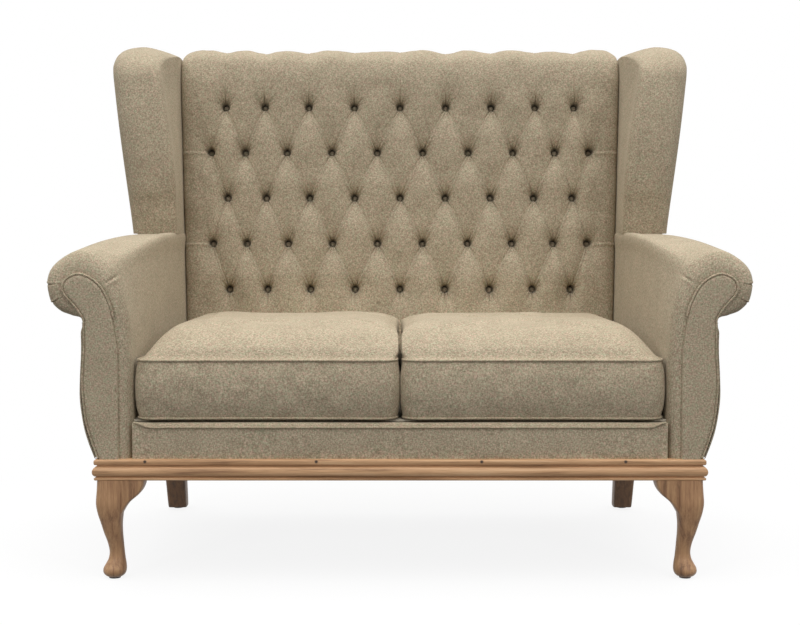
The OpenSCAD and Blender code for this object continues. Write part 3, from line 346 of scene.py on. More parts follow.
def tweed_cover(name, dark, low, high, light):
    """Wool tweed, woven from flecked yarn: no gloss, a soft bloom at grazing angles, and a colour that
    breaks up into warp and weft flecks. Yarn is about 1 mm thick; flecks and threads are drawn at
    2.2 mm, so that they still show with the whole settee in view."""
    finish, tree, shader = new_finish(name, {
        "Roughness": 0.95, "Specular IOR Level": 0.15, "IOR": 1.5,
        "Sheen Weight": 0.3, "Sheen Roughness": 0.5, "Sheen Tint": colour("#E6DCC6")})
    cloth = add(tree, "UVMap", {"uv_map": "cloth"}).outputs[0]
    place = add(tree, "TexCoord").outputs["Object"]
    flecks = []
    for long_x, long_z, shift in ((2.1, 1, 0), (1, 2.3, 31)):
        scale = [1000 / FLECK_MM / size for size in (long_x, 1, long_z)]
        flecks.append(grains(tree, place, scale, 2, 0.7, shift=shift))
    clouds = add(tree, "TexNoise", inputs={"Vector": place, "Scale": 1000 / 55, "Detail": 2,
                                           "Roughness": 0.5}).outputs[0]
    both = reckon(tree, "ADD", *flecks)
    yarn = reckon(tree, "MULTIPLY_ADD", clouds, 0.16, both)
    share = add(tree, "MapRange", inputs={"Value": yarn, "From Min": 0.76, "From Max": 1.4}).outputs[0]
    ramp = add(tree, "ValToRGB", inputs={"Fac": share},
               stops=[(0.1, dark), (0.9, light), (0.4, low), (0.6, high)])
    # Yarns dyed a little redder or greener than their neighbours
    dye = grains(tree, place, (190, 260, 260), 2, 0.7)
    cast = add(tree, "ValToRGB", inputs={"Fac": dye}, stops=[(0.3, "#E6F6EA"), (0.7, "#FFECEC")])
    tone = add(tree, "Mix", {"data_type": "RGBA", "blend_type": "MULTIPLY"},
               {0: 1.0, 6: ramp.outputs[0], 7: cast.outputs[0]})
    # Painted shade: the colour darkens where the cloth is drawn deep into a fold
    deep = add(tree, "Attribute", {"attribute_name": "painted_shade_depth"}).outputs["Fac"]
    kept = add(tree, "MapRange", inputs={"Value": deep, "To Min": 1.0, "To Max": 0.2}).outputs[0]
    shade = add(tree, "VectorMath", {"operation": "SCALE"}, {0: tone.outputs[2], "Scale": kept})
    tree.links.new(shade.outputs[0], shader.inputs["Base Color"])
    # Threads of the weave, under the flecks' own unevenness
    threads = add(tree, "Mapping", inputs={"Vector": cloth, "Scale": (1000, 1000, 1)}).outputs[0]
    bands = {"Vector": threads, "Scale": WAVE_REACH / THREAD_MM, "Distortion": 1.2, "Detail": 1}
    waves = [add(tree, "TexWave", {"bands_direction": way}, bands).outputs[1] for way in "XY"]
    weave = reckon(tree, "MULTIPLY", *waves)
    height = reckon(tree, "MULTIPLY_ADD", both, 0.9, weave)
    bump(tree, shader, height, 0.07, 0.6)
    return finish


def oak(name, along, knots=(), tones=("#8C6848", "#D8B188", "#B78E67", "#CBA077")):
    """Oak, planed and waxed: pale tan with darker latewood streaks every 6 to 12 mm across the grain,
    fine open pores, and a low satin shine. along is the grain's direction, 0 to 2."""
    finish, tree, shader = new_finish(name, {
        "Roughness": 0.5, "Specular IOR Level": 0.4, "IOR": 1.5,
        "Coat Weight": 0.12, "Coat Roughness": 0.35})
    place = add(tree, "TexCoord").outputs["Object"]

    def streaks(length, width, detail, warp):
        scale = [1000 / width] * 3
        scale[along] = 1000 / length
        return grains(tree, place, scale, detail, warp=warp)

    growth = streaks(260, 9, 4, 0.35)
    pores = streaks(38, 1.1, 2, 0)
    share = reckon(tree, "MULTIPLY_ADD", pores, 0.35, growth)
    near = add(tree, "MapRange", inputs={"Value": share, "From Min": 0.42, "From Max": 0.9}).outputs[0]
    ramp = add(tree, "ValToRGB", inputs={"Fac": near},
               stops=list(zip((0.08, 0.92, 0.36, 0.62), tones)))
    tone = ramp.outputs[0]
    for spot in knots:
        # A small dark knot, about 6 mm across
        apart = add(tree, "VectorMath", {"operation": "DISTANCE"},
                    {0: place, 1: [c / 1000 for c in spot]}).outputs["Value"]
        bare = add(tree, "MapRange", inputs={"Value": apart, "From Min": 0.002, "From Max": 0.0045})
        blend = add(tree, "Mix", {"data_type": "RGBA"},
                    {0: bare.outputs[0], 6: colour("#33231A"), 7: tone})
        tone = blend.outputs[2]
    tree.links.new(tone, shader.inputs["Base Color"])
    bump(tree, shader, share, 0.25, 0.5)
    return finish


def speckled(name, sockets, codes, size_mm, depth_mm=0.3, stretch=(1, 1, 1), strength=0.3):
    """A plain finish whose colour and height vary in grains of one size, longer where stretched."""
    finish, tree, shader = new_finish(name, sockets)
    place = add(tree, "TexCoord").outputs["Object"]
    grain = grains(tree, place, [1000 / size_mm / s for s in stretch], 4)
    ramp = add(tree, "ValToRGB", inputs={"Fac": grain}, stops=[(0.32, codes[0]), (0.68, codes[1])])
    tree.links.new(ramp.outputs[0], shader.inputs["Base Color"])
    bump(tree, shader, grain, strength, depth_mm)
    return finish


tweed = tweed_cover("wool_tweed_woven", "#91846F", "#AB9E8A", "#BEB09A", "#D5C8B2")
# The same tweed a little darker for the cords and buttons: painted shade where they sit in seams and
# pits
tweed_welt = tweed_cover("wool_tweed_bias_painted_shade", "#90836E", "#A89B86", "#BBAD97", "#CFC2AC")
oak_upright = oak("waxed_oak_legs", 2, tones=("#76563B", "#BC956E", "#9A7353", "#AC845F"))
# Darker oak for the rear legs: painted shade from under the seat
oak_dark = oak("oak_rear_legs_painted_shade", 2, tones=("#4E3826", "#8A6747", "#6A4C33", "#7B593C"))
KNOTS = [(x, FRONT_Y - PLINTH_PROUD + 3, PLINTH_TOP - 4) for x in (-521, -171, 167, 461)]
oak_across = oak("waxed_oak_plinth_front", 0, KNOTS)
oak_deep = oak("waxed_oak_plinth_sides", 1)
MATT = {"Roughness": 0.85, "Specular IOR Level": 0.25}
STEEL, ZINC = {"Metallic": 1, "Roughness": 0.42}, {"Metallic": 1, "Roughness": 0.35}
NYLON = {"Roughness": 0.5, "Specular IOR Level": 0.5}
# Beech, band-sawn and left rough: short brown flecks along the grain
beech = [speckled("sawn_beech_" + way, MATT, ("#B08F63", "#D8BE94"), 2.2, 0.4,
                  [30 if way == w else 1 for w in "xyz"]) for way in "xyz"]
# Polyurethane foam, sawn: cream and matt, with small open cells
foam = speckled("cut_foam", MATT, ("#D8CB9B", "#EADFB8"), 1.6, 0.6)
# Wool felt, needled: grey-brown and matt, with tangled fibres
felt = speckled("wool_felt", MATT, ("#A79E8C", "#CFC7B6"), 3.5, 0.8)
# Jute, woven and unbleached: tan, coarse and dry
jute = speckled("jute_webbing", MATT, ("#7D6540", "#B69A68"), 1.8, 0.9, (4, 1, 1), 0.6)
# Spunbond polypropylene: black and dull, with a faint grain
dust_cloth = speckled("spunbond_dust_cloth", MATT, ("#191817", "#2E2C2A"), 1.5, 0.3)
# Spring wire, oil-tempered: dark grey with a soft gleam; zinc plating is paler and brighter
spring_steel = speckled("oiled_spring_steel", STEEL, ("#55585B", "#7C8084"), 6, 0.05)
zinc = speckled("zinc_plated_steel", ZINC, ("#A9ABA6", "#C9CBC4"), 5, 0.05)
# Nylon, injection moulded: nearly black, smooth and a little shiny
nylon = speckled("moulded_nylon_glide", NYLON, ("#15130F", "#25211C"), 3, 0.1)
# Polyester tape, woven: brown-grey and matt
zip_cloth = speckled("woven_zip_tape", MATT, ("#7B705C", "#998C75"), 1.2, 0.4)


# Wood: the plinth's moulding, mitred at its corners, as (distance out from its inner side, height)
MOULDING = [(0, 0), (57, 0), (58.6, 1.4), (58.6, 4.6), (57.2, 5.4), (54, 5.7), (54, 7.4)]
MOULDING += [(53.2 + 8.8 * math.cos(a), 17.6 + 10.4 * math.sin(a))
             for a in np.radians(np.arange(-62, 73, 9))]
MOULDING += [(53, 28.4), (53, 31.2), (56.4, 31.6), (58.2, 33), (58.8, 35), (58.8, 40), (57.2, 42),
             (55, PLINTH_H), (0, PLINTH_H)]


def plinth_side(name, start, end, outward, finish):
    """One length of moulding from corner to corner; outward is its outer side's direction."""
    start, end, outward = (np.array(v, float) for v in (start, end, outward))
    run = (end - start) / np.linalg.norm(end - start)
    rows = []
    for share in np.linspace(0, 1, 25):
        row = []
        for out, up in MOULDING + MOULDING[:1]:
            inset = PLINTH_W - out
            here = mix(start + run * inset, end - run * inset, share) - outward * inset
            row.append([here[0], here[1], LEG_H + up])
        rows.append(row)
    dress(name + "_moulding", name, [np.array(rows)], finish, sharp=35)


front_y, back_y = FRONT_Y - PLINTH_PROUD, BACK_Y + PLINTH_PROUD
corners = [(-PLINTH_HALF, front_y), (PLINTH_HALF, front_y),
           (PLINTH_HALF, back_y), (-PLINTH_HALF, back_y)]
plinth_side("plinth_front", corners[0], corners[1], (0, -1), oak_across)
plinth_side("plinth_right", corners[1], corners[2], (1, 0), oak_deep)
plinth_side("plinth_back", corners[2], corners[3], (0, 1), oak_across)
plinth_side("plinth_left", corners[3], corners[0], (-1, 0), oak_deep)

# Cabriole leg: height, the middle's offset and the half width, as shares
LEG_SHARES = [
    (1, 0, 1), (0.93, 0.01, 1.01), (0.86, 0.07, 0.98), (0.76, 0.12, 0.97), (0.66, 0.09, 0.9),
    (0.56, 0.03, 0.77), (0.46, -0.06, 0.68), (0.36, -0.19, 0.59), (0.27, -0.27, 0.555),
    (0.2, -0.27, 0.61), (0.15, -0.22, 0.73), (0.1, -0.14, 0.85), (0.06, -0.11, 0.84),
    (0.03, -0.11, 0.7), (0.0145, -0.11, 0.5)]
LEG_X = PLINTH_HALF - LEG_HALF - PLINTH_PROUD
LEG_Y = FRONT_Y - PLINTH_PROUD + LEG_HALF + PLINTH_PROUD / 2


def cabriole_rows():
    """Round at the ankle and the foot, and nearly square where it meets the plinth."""
    rows = []
    for height, offset, half in through(LEG_SHARES, 5):
        square = mix(1, 0.45, smooth((height - 0.15) / 0.67))
        centre = LEG_X + offset * LEG_HALF, LEG_Y - offset * LEG_HALF
        rows.append(squarish(centre, half * LEG_HALF, square, height * LEG_H, 49))
    return np.array(rows)


# Ear: its lower edge from its tip back to the leg, as shares of its length and height
EAR_SHARES = [(1, 0), (1, 0.07), (0.97, 0.15), (0.87, 0.27), (0.7, 0.38), (0.47, 0.48),
              (0.25, 0.58), (0.05, 0.71), (-0.12, 0.86), (-0.25, 1)]
EAR_LEN, EAR_H, EAR_HALF = 42, 82, LEG_HALF * 0.97
EAR_ROOT = 13  # how far an ear reaches into its leg


def ear_rows(place, reach_x, reach_y):
    """A knee ear with rounded edges: rows across its thickness."""
    edge = through([(s[0] * EAR_LEN, s[1] * EAR_H) for s in EAR_SHARES], 4)
    middle = np.array([-EAR_LEN * 0.2, EAR_H * 0.2])
    rows = []
    for turn in np.linspace(-90, 90, 19):
        t = math.radians(turn)
        out = 1 - 0.13 * (1 - math.cos(t) ** 0.8)
        across = EAR_HALF * (np.sign(t) * abs(math.sin(t)) ** 0.5)
        loop = np.concatenate([[(-EAR_ROOT, 0)], edge, [(-EAR_ROOT, EAR_H)], [(-EAR_ROOT, 0)]])
        shape = middle + (loop - middle) * out
        shape[:, 0] = np.where(loop[:, 0] <= 1 - EAR_ROOT, -EAR_ROOT, shape[:, 0])
        shape[:, 1] = np.where(loop[:, 1] <= 0, 0, shape[:, 1])
        side = np.array([-reach_y, reach_x])
        thin = across * (1 - 0.3 * unit(shape[:, 1:] / EAR_H) ** 1.5)
        ground = np.array(place) + shape[:, :1] * np.array([reach_x, reach_y]) + thin * side
        rows.append(np.column_stack([ground, LEG_H - shape[:, 1]]))
    return np.array(rows)


leg_rows = cabriole_rows()
ears = [ear_rows((LEG_X - LEG_HALF, LEG_Y), -1, 0), ear_rows((LEG_X, LEG_Y + LEG_HALF), 0, 1)]
for side, flip in SIDES:
    dress("cabriole_leg_" + side, "front_leg_" + side, flip([leg_rows]), oak_upright,
          sharp=60)
    dress("carved_ears_" + side, "knee_ears_" + side, flip(ears), oak_upright,
          sharp=60)

# Rear legs: square with rounded corners, raked back in one easy curve
RAIL_OUT = SEAT_W / 2 + ARM_PAD_T + FIT + RAIL_T
REAR_LEG_X = RAIL_OUT - REAR_LEG_W / 2 - REAR_LEG_INSET
REAR_LEG_Y = BACK_Y + PLINTH_PROUD - PLINTH_W + REAR_LEG_W / 2
REAR_SHARES = [(0, 1, 0.68), (0.012, 0.98, 0.82), (0.032, 0.94, 0.9), (0.3, 0.66, 0.95), (0.6, 0.36, 1),
               (0.85, 0.12, 1), (1, 0, 1)]


def rear_leg_rows():
    """From the glide up to the rail."""
    rows = []
    for height, sweep, half in through(REAR_SHARES, 5):
        centre = REAR_LEG_X, REAR_LEG_Y + sweep * REAR_LEG_SWEEP
        rows.append(squarish(centre, half * REAR_LEG_W / 2, 0.32, mix(GLIDE_T, LEG_H, height), 41))
    return np.array(rows)


for side, flip in SIDES:
    dress("raked_leg_" + side, "rear_leg_" + side, flip([rear_leg_rows()]), oak_dark,
          sharp=60)

# Arms: outlines as shares across from the inside face and up from the plinth
ARM_FULL = [
    (0, 0), (0, 0.19), (0, 0.38), (0.01, 0.53), (0.035, 0.675), (0.09, 0.77), (0.16, 0.845),
    (0.26, 0.915), (0.4, 0.97), (0.535, 1), (0.69, 0.998), (0.86, 0.955), (0.965, 0.905), (1, 0.85),
    (0.98, 0.79), (0.945, 0.755), (0.84, 0.715), (0.71, 0.695), (0.615, 0.675), (0.6, 0.59),
    (0.6, 0.51), (0.615, 0.395), (0.625, 0.285), (0.585, 0.16), (0.535, 0.08), (0.46, 0)]
ARM_FACE = [
    (0.145, 0), (0.14, 0.19), (0.14, 0.38), (0.145, 0.53), (0.19, 0.695), (0.215, 0.74), (0.265, 0.79),
    (0.325, 0.835), (0.405, 0.868), (0.495, 0.89), (0.58, 0.9), (0.655, 0.895), (0.73, 0.878),
    (0.765, 0.86), (0.785, 0.83), (0.75, 0.795), (0.695, 0.77), (0.62, 0.735), (0.54, 0.68),
    (0.54, 0.645), (0.54, 0.535), (0.565, 0.385), (0.555, 0.29), (0.525, 0.18), (0.46, 0.085),
    (0.39, 0)]
ARM_WING = [
    (0, 0), (0, 0.18), (0, 0.36), (0, 0.5), (0, 0.63), (0, 0.77), (0, 0.9),
    (0, 1), (0.2, 1), (0.38, 1), (0.53, 0.994), (0.74, 0.972), (0.885, 0.942), (0.985, 0.87),
    (0.985, 0.775), (0.92, 0.705), (0.82, 0.67), (0.72, 0.65), (0.65, 0.63), (0.635, 0.55),
    (0.635, 0.475), (0.65, 0.37), (0.655, 0.265), (0.625, 0.15), (0.58, 0.075), (0.52, 0)]
PANEL_FIRST = 18
WING_FOOT_Y = PAD_FRONT_Y - WING_REACH
ARM_BLEND_D = 430
STEPS = 14  # steps between two points of an arm's outline
RUN_STEP, PAST_WING = 11, 150  # steps along an arm, and how far its rings go on beside the back


def arm_place(shares, y, height):
    """An outline's (x, z) at a depth, from its shares."""
    shares = np.asarray(shares, float)
    z = PLINTH_TOP + shares[:, 1] * height
    return np.stack([mix(inside_x(y, z), OVERALL_W / 2, shares[:, 0]), z], 1)


arm_full, arm_wing = through(ARM_FULL, STEPS), through(ARM_WING, STEPS)


def arm_outline(y):
    """The arm's full section, which turns into the wing's foot towards the rear."""
    turn = 1 - (1 - min(1, max(0, 1 + (y - WING_FOOT_Y) / ARM_BLEND_D))) ** 1.8
    return mix(arm_place(arm_full, y, ARM_H), arm_place(arm_wing, y, ARM_H + ARM_RISE), turn)


facing_line = arm_place(ARM_FACE, FRONT_Y, ARM_H)
# Where the cover is pleated over the scroll's front: place along the outline, lean, depth
PLEATS = ((6.95, 0.6, 3.6), (13.2, 0, 3), (15, 0, 3))


def arm_ring(y, inset):
    """The arm's section at a depth, drawn in by the inset where the outside panel lies."""
    grow = unit((y - FRONT_Y - FACING_T - FIT) / ARM_EDGE_D)
    swell = math.sqrt(max(0, 1 - (1 - grow) ** 2))
    start = through(beside(facing_line, -1.25 * PIPING_R), STEPS)
    ring = mix(start, arm_outline(y), swell)
    at = np.arange(len(ring)) / STEPS
    depth = y - FRONT_Y
    # Each pleat is a narrow fold with a proud lip beside it, and fades out behind the edge
    for pleat, lean_in, fold in PLEATS:
        pleat -= lean_in * swell
        fade = math.exp(-(max(0, depth - 22) / 13) ** 2)
        sunk = (fold * np.exp(-((at - pleat) / 0.07) ** 2)
                - 0.63 * fold * np.exp(-((at - pleat + 0.15) / 0.1) ** 2))
        ring = ring + (fade * sunk)[:, None] * (beside(ring, 1) - ring)
    # Small gathers round the top of the scroll, beside its piping
    gather = np.sin(at * 17 + 1.3 * np.sin(at * 5)) * smooth((at - 8) / 1.2) * smooth((14.2 - at) / 1)
    gather *= 0.9 * math.exp(-max(0, depth - FACING_T) / 8)
    ring = ring + gather[:, None] * (beside(ring, 1) - ring)
    inward = inset * smooth((at - PANEL_FIRST + 1) / 1)
    ring = ring - np.stack([inward, np.zeros_like(inward)], 1)
    ring[[0, -1], 1] = PLINTH_TOP
    ring[:, 1] = np.maximum(ring[:, 1], PLINTH_TOP)
    return ring


ARM_REAR_N = BACK_PANEL_T + FIT
edge_ys = FRONT_Y + FACING_T + FIT + ARM_EDGE_D * np.linspace(0, 1, 17) ** 1.6
run_ys = np.concatenate([edge_ys,
                         np.arange(edge_ys[-1] + RUN_STEP, WING_FOOT_Y + PAST_WING, RUN_STEP)])


def arm_rows(ys, rings):
    """Rings at their depths, the last ones drawn out to the raked outside back."""
    rows = [at_depth(ring, y) for y, ring in zip(ys, rings)]
    last = rows[-1]
    back = slope_y(ARM_REAR_N, s_at(ARM_REAR_N, last[:, 2]))
    for share in np.linspace(0.1, 1, 10):
        row = last.copy()
        row[:, 1] = mix(last[:, 1], back, share)
        row[:, 0] += inside_x(row[:, 1], row[:, 2]) - inside_x(last[:, 1], last[:, 2])
        rows.append(row)
    return np.array(rows)


cover_rows = arm_rows(run_ys, [arm_ring(y, PANEL_T + FIT) for y in run_ys])
cover_rows = np.concatenate([cover_rows, cover_rows[:, :1]], axis=1)

# The outside panel hangs from under the scroll: drawn up at its top, filled out a little between
UNDER_SCROLL_Z = PLINTH_TOP + 0.66 * ARM_H
panel_rings = []
for y in run_ys[3:]:
    ring = arm_ring(y, 0)[PANEL_FIRST * STEPS:]
    ring[:, 1] = np.minimum(ring[:, 1], UNDER_SCROLL_Z - 2 * FIT)
    ring[:, 0] -= 0.75 * PANEL_T * (1 - smooth((UNDER_SCROLL_Z - ring[:, 1]) / 22))
    inner = np.column_stack([ring[::-1, 0] - 0.24 * PANEL_T, ring[::-1, 1]])
    panel_rings.append(np.concatenate([ring, inner, ring[:1]]))
panel_rows = arm_rows(run_ys[3:], panel_rings)

# Facing: the front panel, a little domed inside its piping
face_line = beside(facing_line, WELT_R + FIT)[4:]
foot_x = facing_line[0][0]
face_edge = np.concatenate([[(foot_x, PLINTH_TOP), (foot_x, facing_line[3][1])], through(face_line, 4)])
face_edge = face_edge[face_edge[:, 1] > PLINTH_TOP - 0.01]
if face_edge[-1, 1] > PLINTH_TOP + 0.5:
    face_edge = np.concatenate([face_edge, [(face_edge[-1][0], PLINTH_TOP)]])
face_rows = []
for inset, y in ((0, FACING_T), (0, 3.4), (0.5, 2.3), (1.3, 1.5), (2.6, 0.8), (4.5, 0.3), (8, 0)):
    loop = beside(face_edge, inset)
    loop[0, 1] = loop[-1, 1] = PLINTH_TOP
    loop[:, 1] = np.maximum(loop[:, 1], PLINTH_TOP)
    face_rows.append(at_depth(np.concatenate([loop, loop[:1]]), FRONT_Y + y))
face_rows = np.array(face_rows)

welt_line = through(facing_line[4:], 4)
welt_line[:, 1] = np.maximum(welt_line[:, 1], PLINTH_TOP + PIPING_R)
welt_rows = tube(even(at_depth(welt_line, FRONT_Y + PIPING_R), 5), WELT_R)

for side, flip in SIDES:
    dress("arm_cover_" + side, "arm_pad_" + side, flip([cover_rows]), tweed)
    dress("outside_arm_panel_" + side, "outside_arm_" + side, flip([panel_rows]), tweed)
    dress("scroll_facing_" + side, "arm_facing_" + side, flip([face_rows]), tweed)
    dress("facing_welt_" + side, "facing_piping_" + side, flip([welt_rows]), tweed_welt)

# Wings: the front edge rises from the arm, swells and turns over into the crest
WING_TOP_S = BACK_LEN + 0.9 * CREST_H
WING_SHOULDER_S = mix(s_at(BACK_FULL_T, WING_FOOT_Z), WING_TOP_S, 0.72)
WING_SEAT_X = back_half(s_at(BACK_FULL_T, WING_FOOT_Z))
WING_INNER_R, TIGHT_SHARE, WIDE_SHARE = 20, 0.17, 0.6  # the rolls at the band's two sides
SWELL_TURN = 130  # the front edge swells as a sine does over this many degrees


def wing_edge(draw, top_draw, ledge):
    """The front edge as points (n, s), drawn in at its front and at its top."""
    t = np.linspace(0, 1, 57)[:-1]
    # The padding of the front band ends low down in a soft ledge
    draw = draw + 4.5 * (1 - smooth((t - 0.22) / 0.05)) * ledge
    n = BACK_FULL_T + WING_REACH + WING_SWELL * np.sin(np.radians(SWELL_TURN * t)) - draw
    rise = np.stack([n, mix(s_at(n, WING_FOOT_Z), WING_SHOULDER_S, t)], 1)
    shoulder_n = BACK_FULL_T + WING_REACH + WING_SWELL * math.sin(math.radians(SWELL_TURN)) - draw[-1]
    top_s = WING_TOP_S - 0.6 * top_draw
    a = np.radians(np.arange(0, 91, 3))
    turn = np.stack([mix(CREST_N, shoulder_n, np.cos(a)), mix(WING_SHOULDER_S, top_s, np.sin(a))], 1)
    edge = np.concatenate([rise, turn])
    for _ in range(3):
        edge[1:-1] = (edge[:-2] + 2 * edge[1:-1] + edge[2:]) / 4
    return edge


def wing_rear(front):
    """The rear edge at the heights of the front one: straight, then rounded up to the top."""
    top_s = front[-1, 1]
    over = unit((front[:, 1] - BACK_LEN) / (top_s - BACK_LEN))
    rear = np.stack([mix(CREST_N, ARM_REAR_N, np.sqrt(1 - over ** 2)), front[:, 1]], 1)
    rear[0, 1] = s_at(ARM_REAR_N, WING_FOOT_Z)
    return rear


def wing_x(n, s, w):
    """Across the wing, from its inner face at w 0 to its outer face at w 1."""
    foot = s_at(n, WING_FOOT_Z)
    up = unit((s - foot) / (WING_TOP_S - foot))
    past = unit((n - BACK_FULL_T) / WING_REACH)
    flare = WING_FLARE * smooth((up - 0.18) / 0.91) - BACK_WIDEN * (s - foot)
    inner = back_half(s) + FIT + past * flare
    # The padding fills out the inner face in front of the back
    inner = inner - 4 * np.sin(math.pi * past) ** 2 * np.sin(math.pi * np.clip(up, 0, 0.9) / 0.9) ** 0.5
    outer = WING_SEAT_X + WING_T + WING_FLARE * np.minimum(1, up / 0.83) ** 1.2
    return mix(inner, outer, w)


def wing_point(points, w):
    n, s = points[..., 0], points[..., 1]
    return on_slope(wing_x(n, s, w), n, s)


def wing_sheets():
    """The wing as rings across its thickness, and its two sides."""
    share = np.linspace(0, 1, 26)[:, None]
    rings, sides = [], []
    ws = (1 - np.cos(np.linspace(0, math.pi, 37))) / 2
    for w in ws:
        # A band of padding faces the front: a tight roll at its inner side, a wide one at the outer
        tight, wide = max(0, 1 - w / TIGHT_SHARE), max(0, (w - 1 + WIDE_SHARE) / WIDE_SHARE)
        draw = WING_INNER_R * (1 - math.sqrt(1 - tight ** 2))
        draw += WING_EDGE_R * (1 - (1 - wide ** 2.3) ** (1 / 2.3))
        draw += 1.6 * math.exp(-((w - 0.93) / 0.02) ** 2) + 1.2 * math.exp(-((w - 0.3) / 0.16) ** 2)
        outer, inner = max(0, (w - 0.5) * 2), max(0, (0.56 - w) / 0.56)
        top_draw = WING_EDGE_R * (1 - (1 - outer ** 2.3) ** (1 / 2.3) + 0.95 * inner ** 1.35)
        front = wing_edge(draw, top_draw, smooth(w / 0.08) * smooth((0.95 - w) / 0.15))
        rear = wing_rear(front)
        foot = mix(rear[:1], front[:1], share)
        rings.append(wing_point(np.concatenate([foot, front[1:], rear[-2::-1]]), w))
        if w in (0, 1):
            sides.append(wing_point(mix(rear[:, None], front[:, None], share[None]), w))
    return [np.array(rings)] + sides


# Outside back: one panel stretched from scroll to scroll and wing to wing
PANEL_CORNER_R = 24


def back_outline():
    """(half width, s) up one side of the panel."""
    low = arm_place(arm_wing[:PANEL_FIRST * STEPS - 1:-1], slope_y(0, s_at(0, WING_FOOT_Z)) + 5,
                    ARM_H + ARM_RISE)
    side = [(x - PANEL_T, max(0, s_at(0, z))) for x, z in low]
    start, turn_s = s_at(0, WING_FOOT_Z - FIT), BACK_LEN - PANEL_CORNER_R
    side += [(wing_x(0, s, 1) - PANEL_T, s) for s in mix(start, turn_s, np.linspace(0, 1, 26))]
    top_x = side[-1][0]
    side += [(top_x - PANEL_CORNER_R * (1 - math.cos(a)), turn_s + PANEL_CORNER_R * math.sin(a))
             for a in QUARTER]
    return np.array(side)


def outside_back_rows():
    rows = []
    for half, s in back_outline():
        across = np.linspace(-1, 1, 61)
        x = half * across
        # Held along its edges, so it stands off a little over the middle of its padding
        round_off = 2.2 * (1 - np.abs(across) ** 14)
        fill = 1.6 * (1 - across ** 4) * math.sin(math.pi * unit(s / BACK_LEN)) ** 0.5
        n = 2.2 - round_off - fill * 0.8
        outer, inner = on_slope(x, n, s), on_slope(x, BACK_PANEL_T, s)
        rows.append(np.concatenate([outer, inner[::-1], outer[:1]]))
    return np.array(rows)


wing = wing_sheets()
for side, flip in SIDES:
    dress("wing_cover_" + side, "wing_pad_" + side, flip(wing), tweed, faces=())
dress("outside_back_panel", "outside_back", [outside_back_rows()], tweed)

# Inside back: buttons on a lattice of half pitches across, u, and rows up the slope, v, wherever
# u + v is even. Pleats join them into tall diamonds.
LOW_ROW_S = BACK_LEN - TOP_ROW_DROP - 4 * ROW_PITCH
TOP_V, U_LAST = 4, 9
CREST_V = (BACK_LEN - LOW_ROW_S) / ROW_PITCH
PLEAT_DEPTH = 8
LEAN_N, LEAN_RUN = 12, 58  # the top of the pad leans back this far, over this length
CREST_FILL = 6  # how far the roll rises over its plain curve
SET_DEPTH = 38  # the buttons' faces behind the fullest plane
PIT_REACH = 75  # no button draws the cloth in further off than this
noise = np.random.default_rng(7)


def lattice_x(u, s):
    """A button column's place; the columns draw together a little towards the sides."""
    half = BUTTON_PITCH / 2 * u * (1 - 0.078 * (u / U_LAST) ** 4)
    return half * back_half(s) / back_half(LOW_ROW_S + 2 * ROW_PITCH)


def pad_x(c, s):
    """Across the pad: on the lattice up to its last column, then evenly out to the side."""
    last = lattice_x(U_LAST, s)
    beyond = unit(np.abs(c) - U_LAST)
    inside = lattice_x(np.clip(np.abs(c), 0, U_LAST), s)
    return np.sign(c) * np.where(beyond > 0, mix(last, back_half(s), beyond), inside)


BUTTONS = [(u, v) for v in range(TOP_V + 1) for u in range(-U_LAST, U_LAST + 1) if (u + v) % 2 == 0]
# The folds that run out from a button: direction in degrees, depth, half width in degrees, length
FOLDS = [(90, 1, 7, 15), (67, 1, 6, 19), (113, 1, 6, 19), (43, 0.9, 7, 14), (137, 0.9, 7, 14),
         (18, 0.6, 8, 11), (162, 0.6, 8, 11), (-64, 0.6, 6, 26), (-116, 0.6, 6, 26), (-82, 0.45, 5, 20),
         (-98, 0.45, 5, 20), (-35, 0.4, 8, 11), (-145, 0.4, 8, 11)]
BELOW_BUTTON = 11  # the pit round a button is this much deeper than its face
NARROW_SHARE, NARROW_R, WIDE_R = 0.55, 8.8, 23  # the pit: a steep well in a wide bowl
MM_SHARE = 0.01028  # about one millimetre across a pleat, as a share of the lattice's step


def swells(height, size_mm, count=26):
    """Slow unevenness, as a sum of waves in seeded directions: a function of x and s."""
    waves = [(noise.uniform(0, 2 * math.pi), noise.uniform(0.6, 1.5), noise.uniform(0, 2 * math.pi))
             for _ in range(count)]

    def field(x, s):
        total = 0
        for way, scale, phase in waves:
            k = 2 * math.pi / (size_mm * scale)
            total = total + np.sin(k * (x * math.cos(way) + s * math.sin(way)) + phase)
        return total * height / math.sqrt(count / 2)
    return field


pad_swell = swells(0.7, 110)
pad_ripple = swells(0.16, 26)


def lean(share):
    """A diamond's swell between two pleats: slow from the lower one, quick up to the upper one."""
    return np.sin(math.pi * unit(share) ** 1.3)


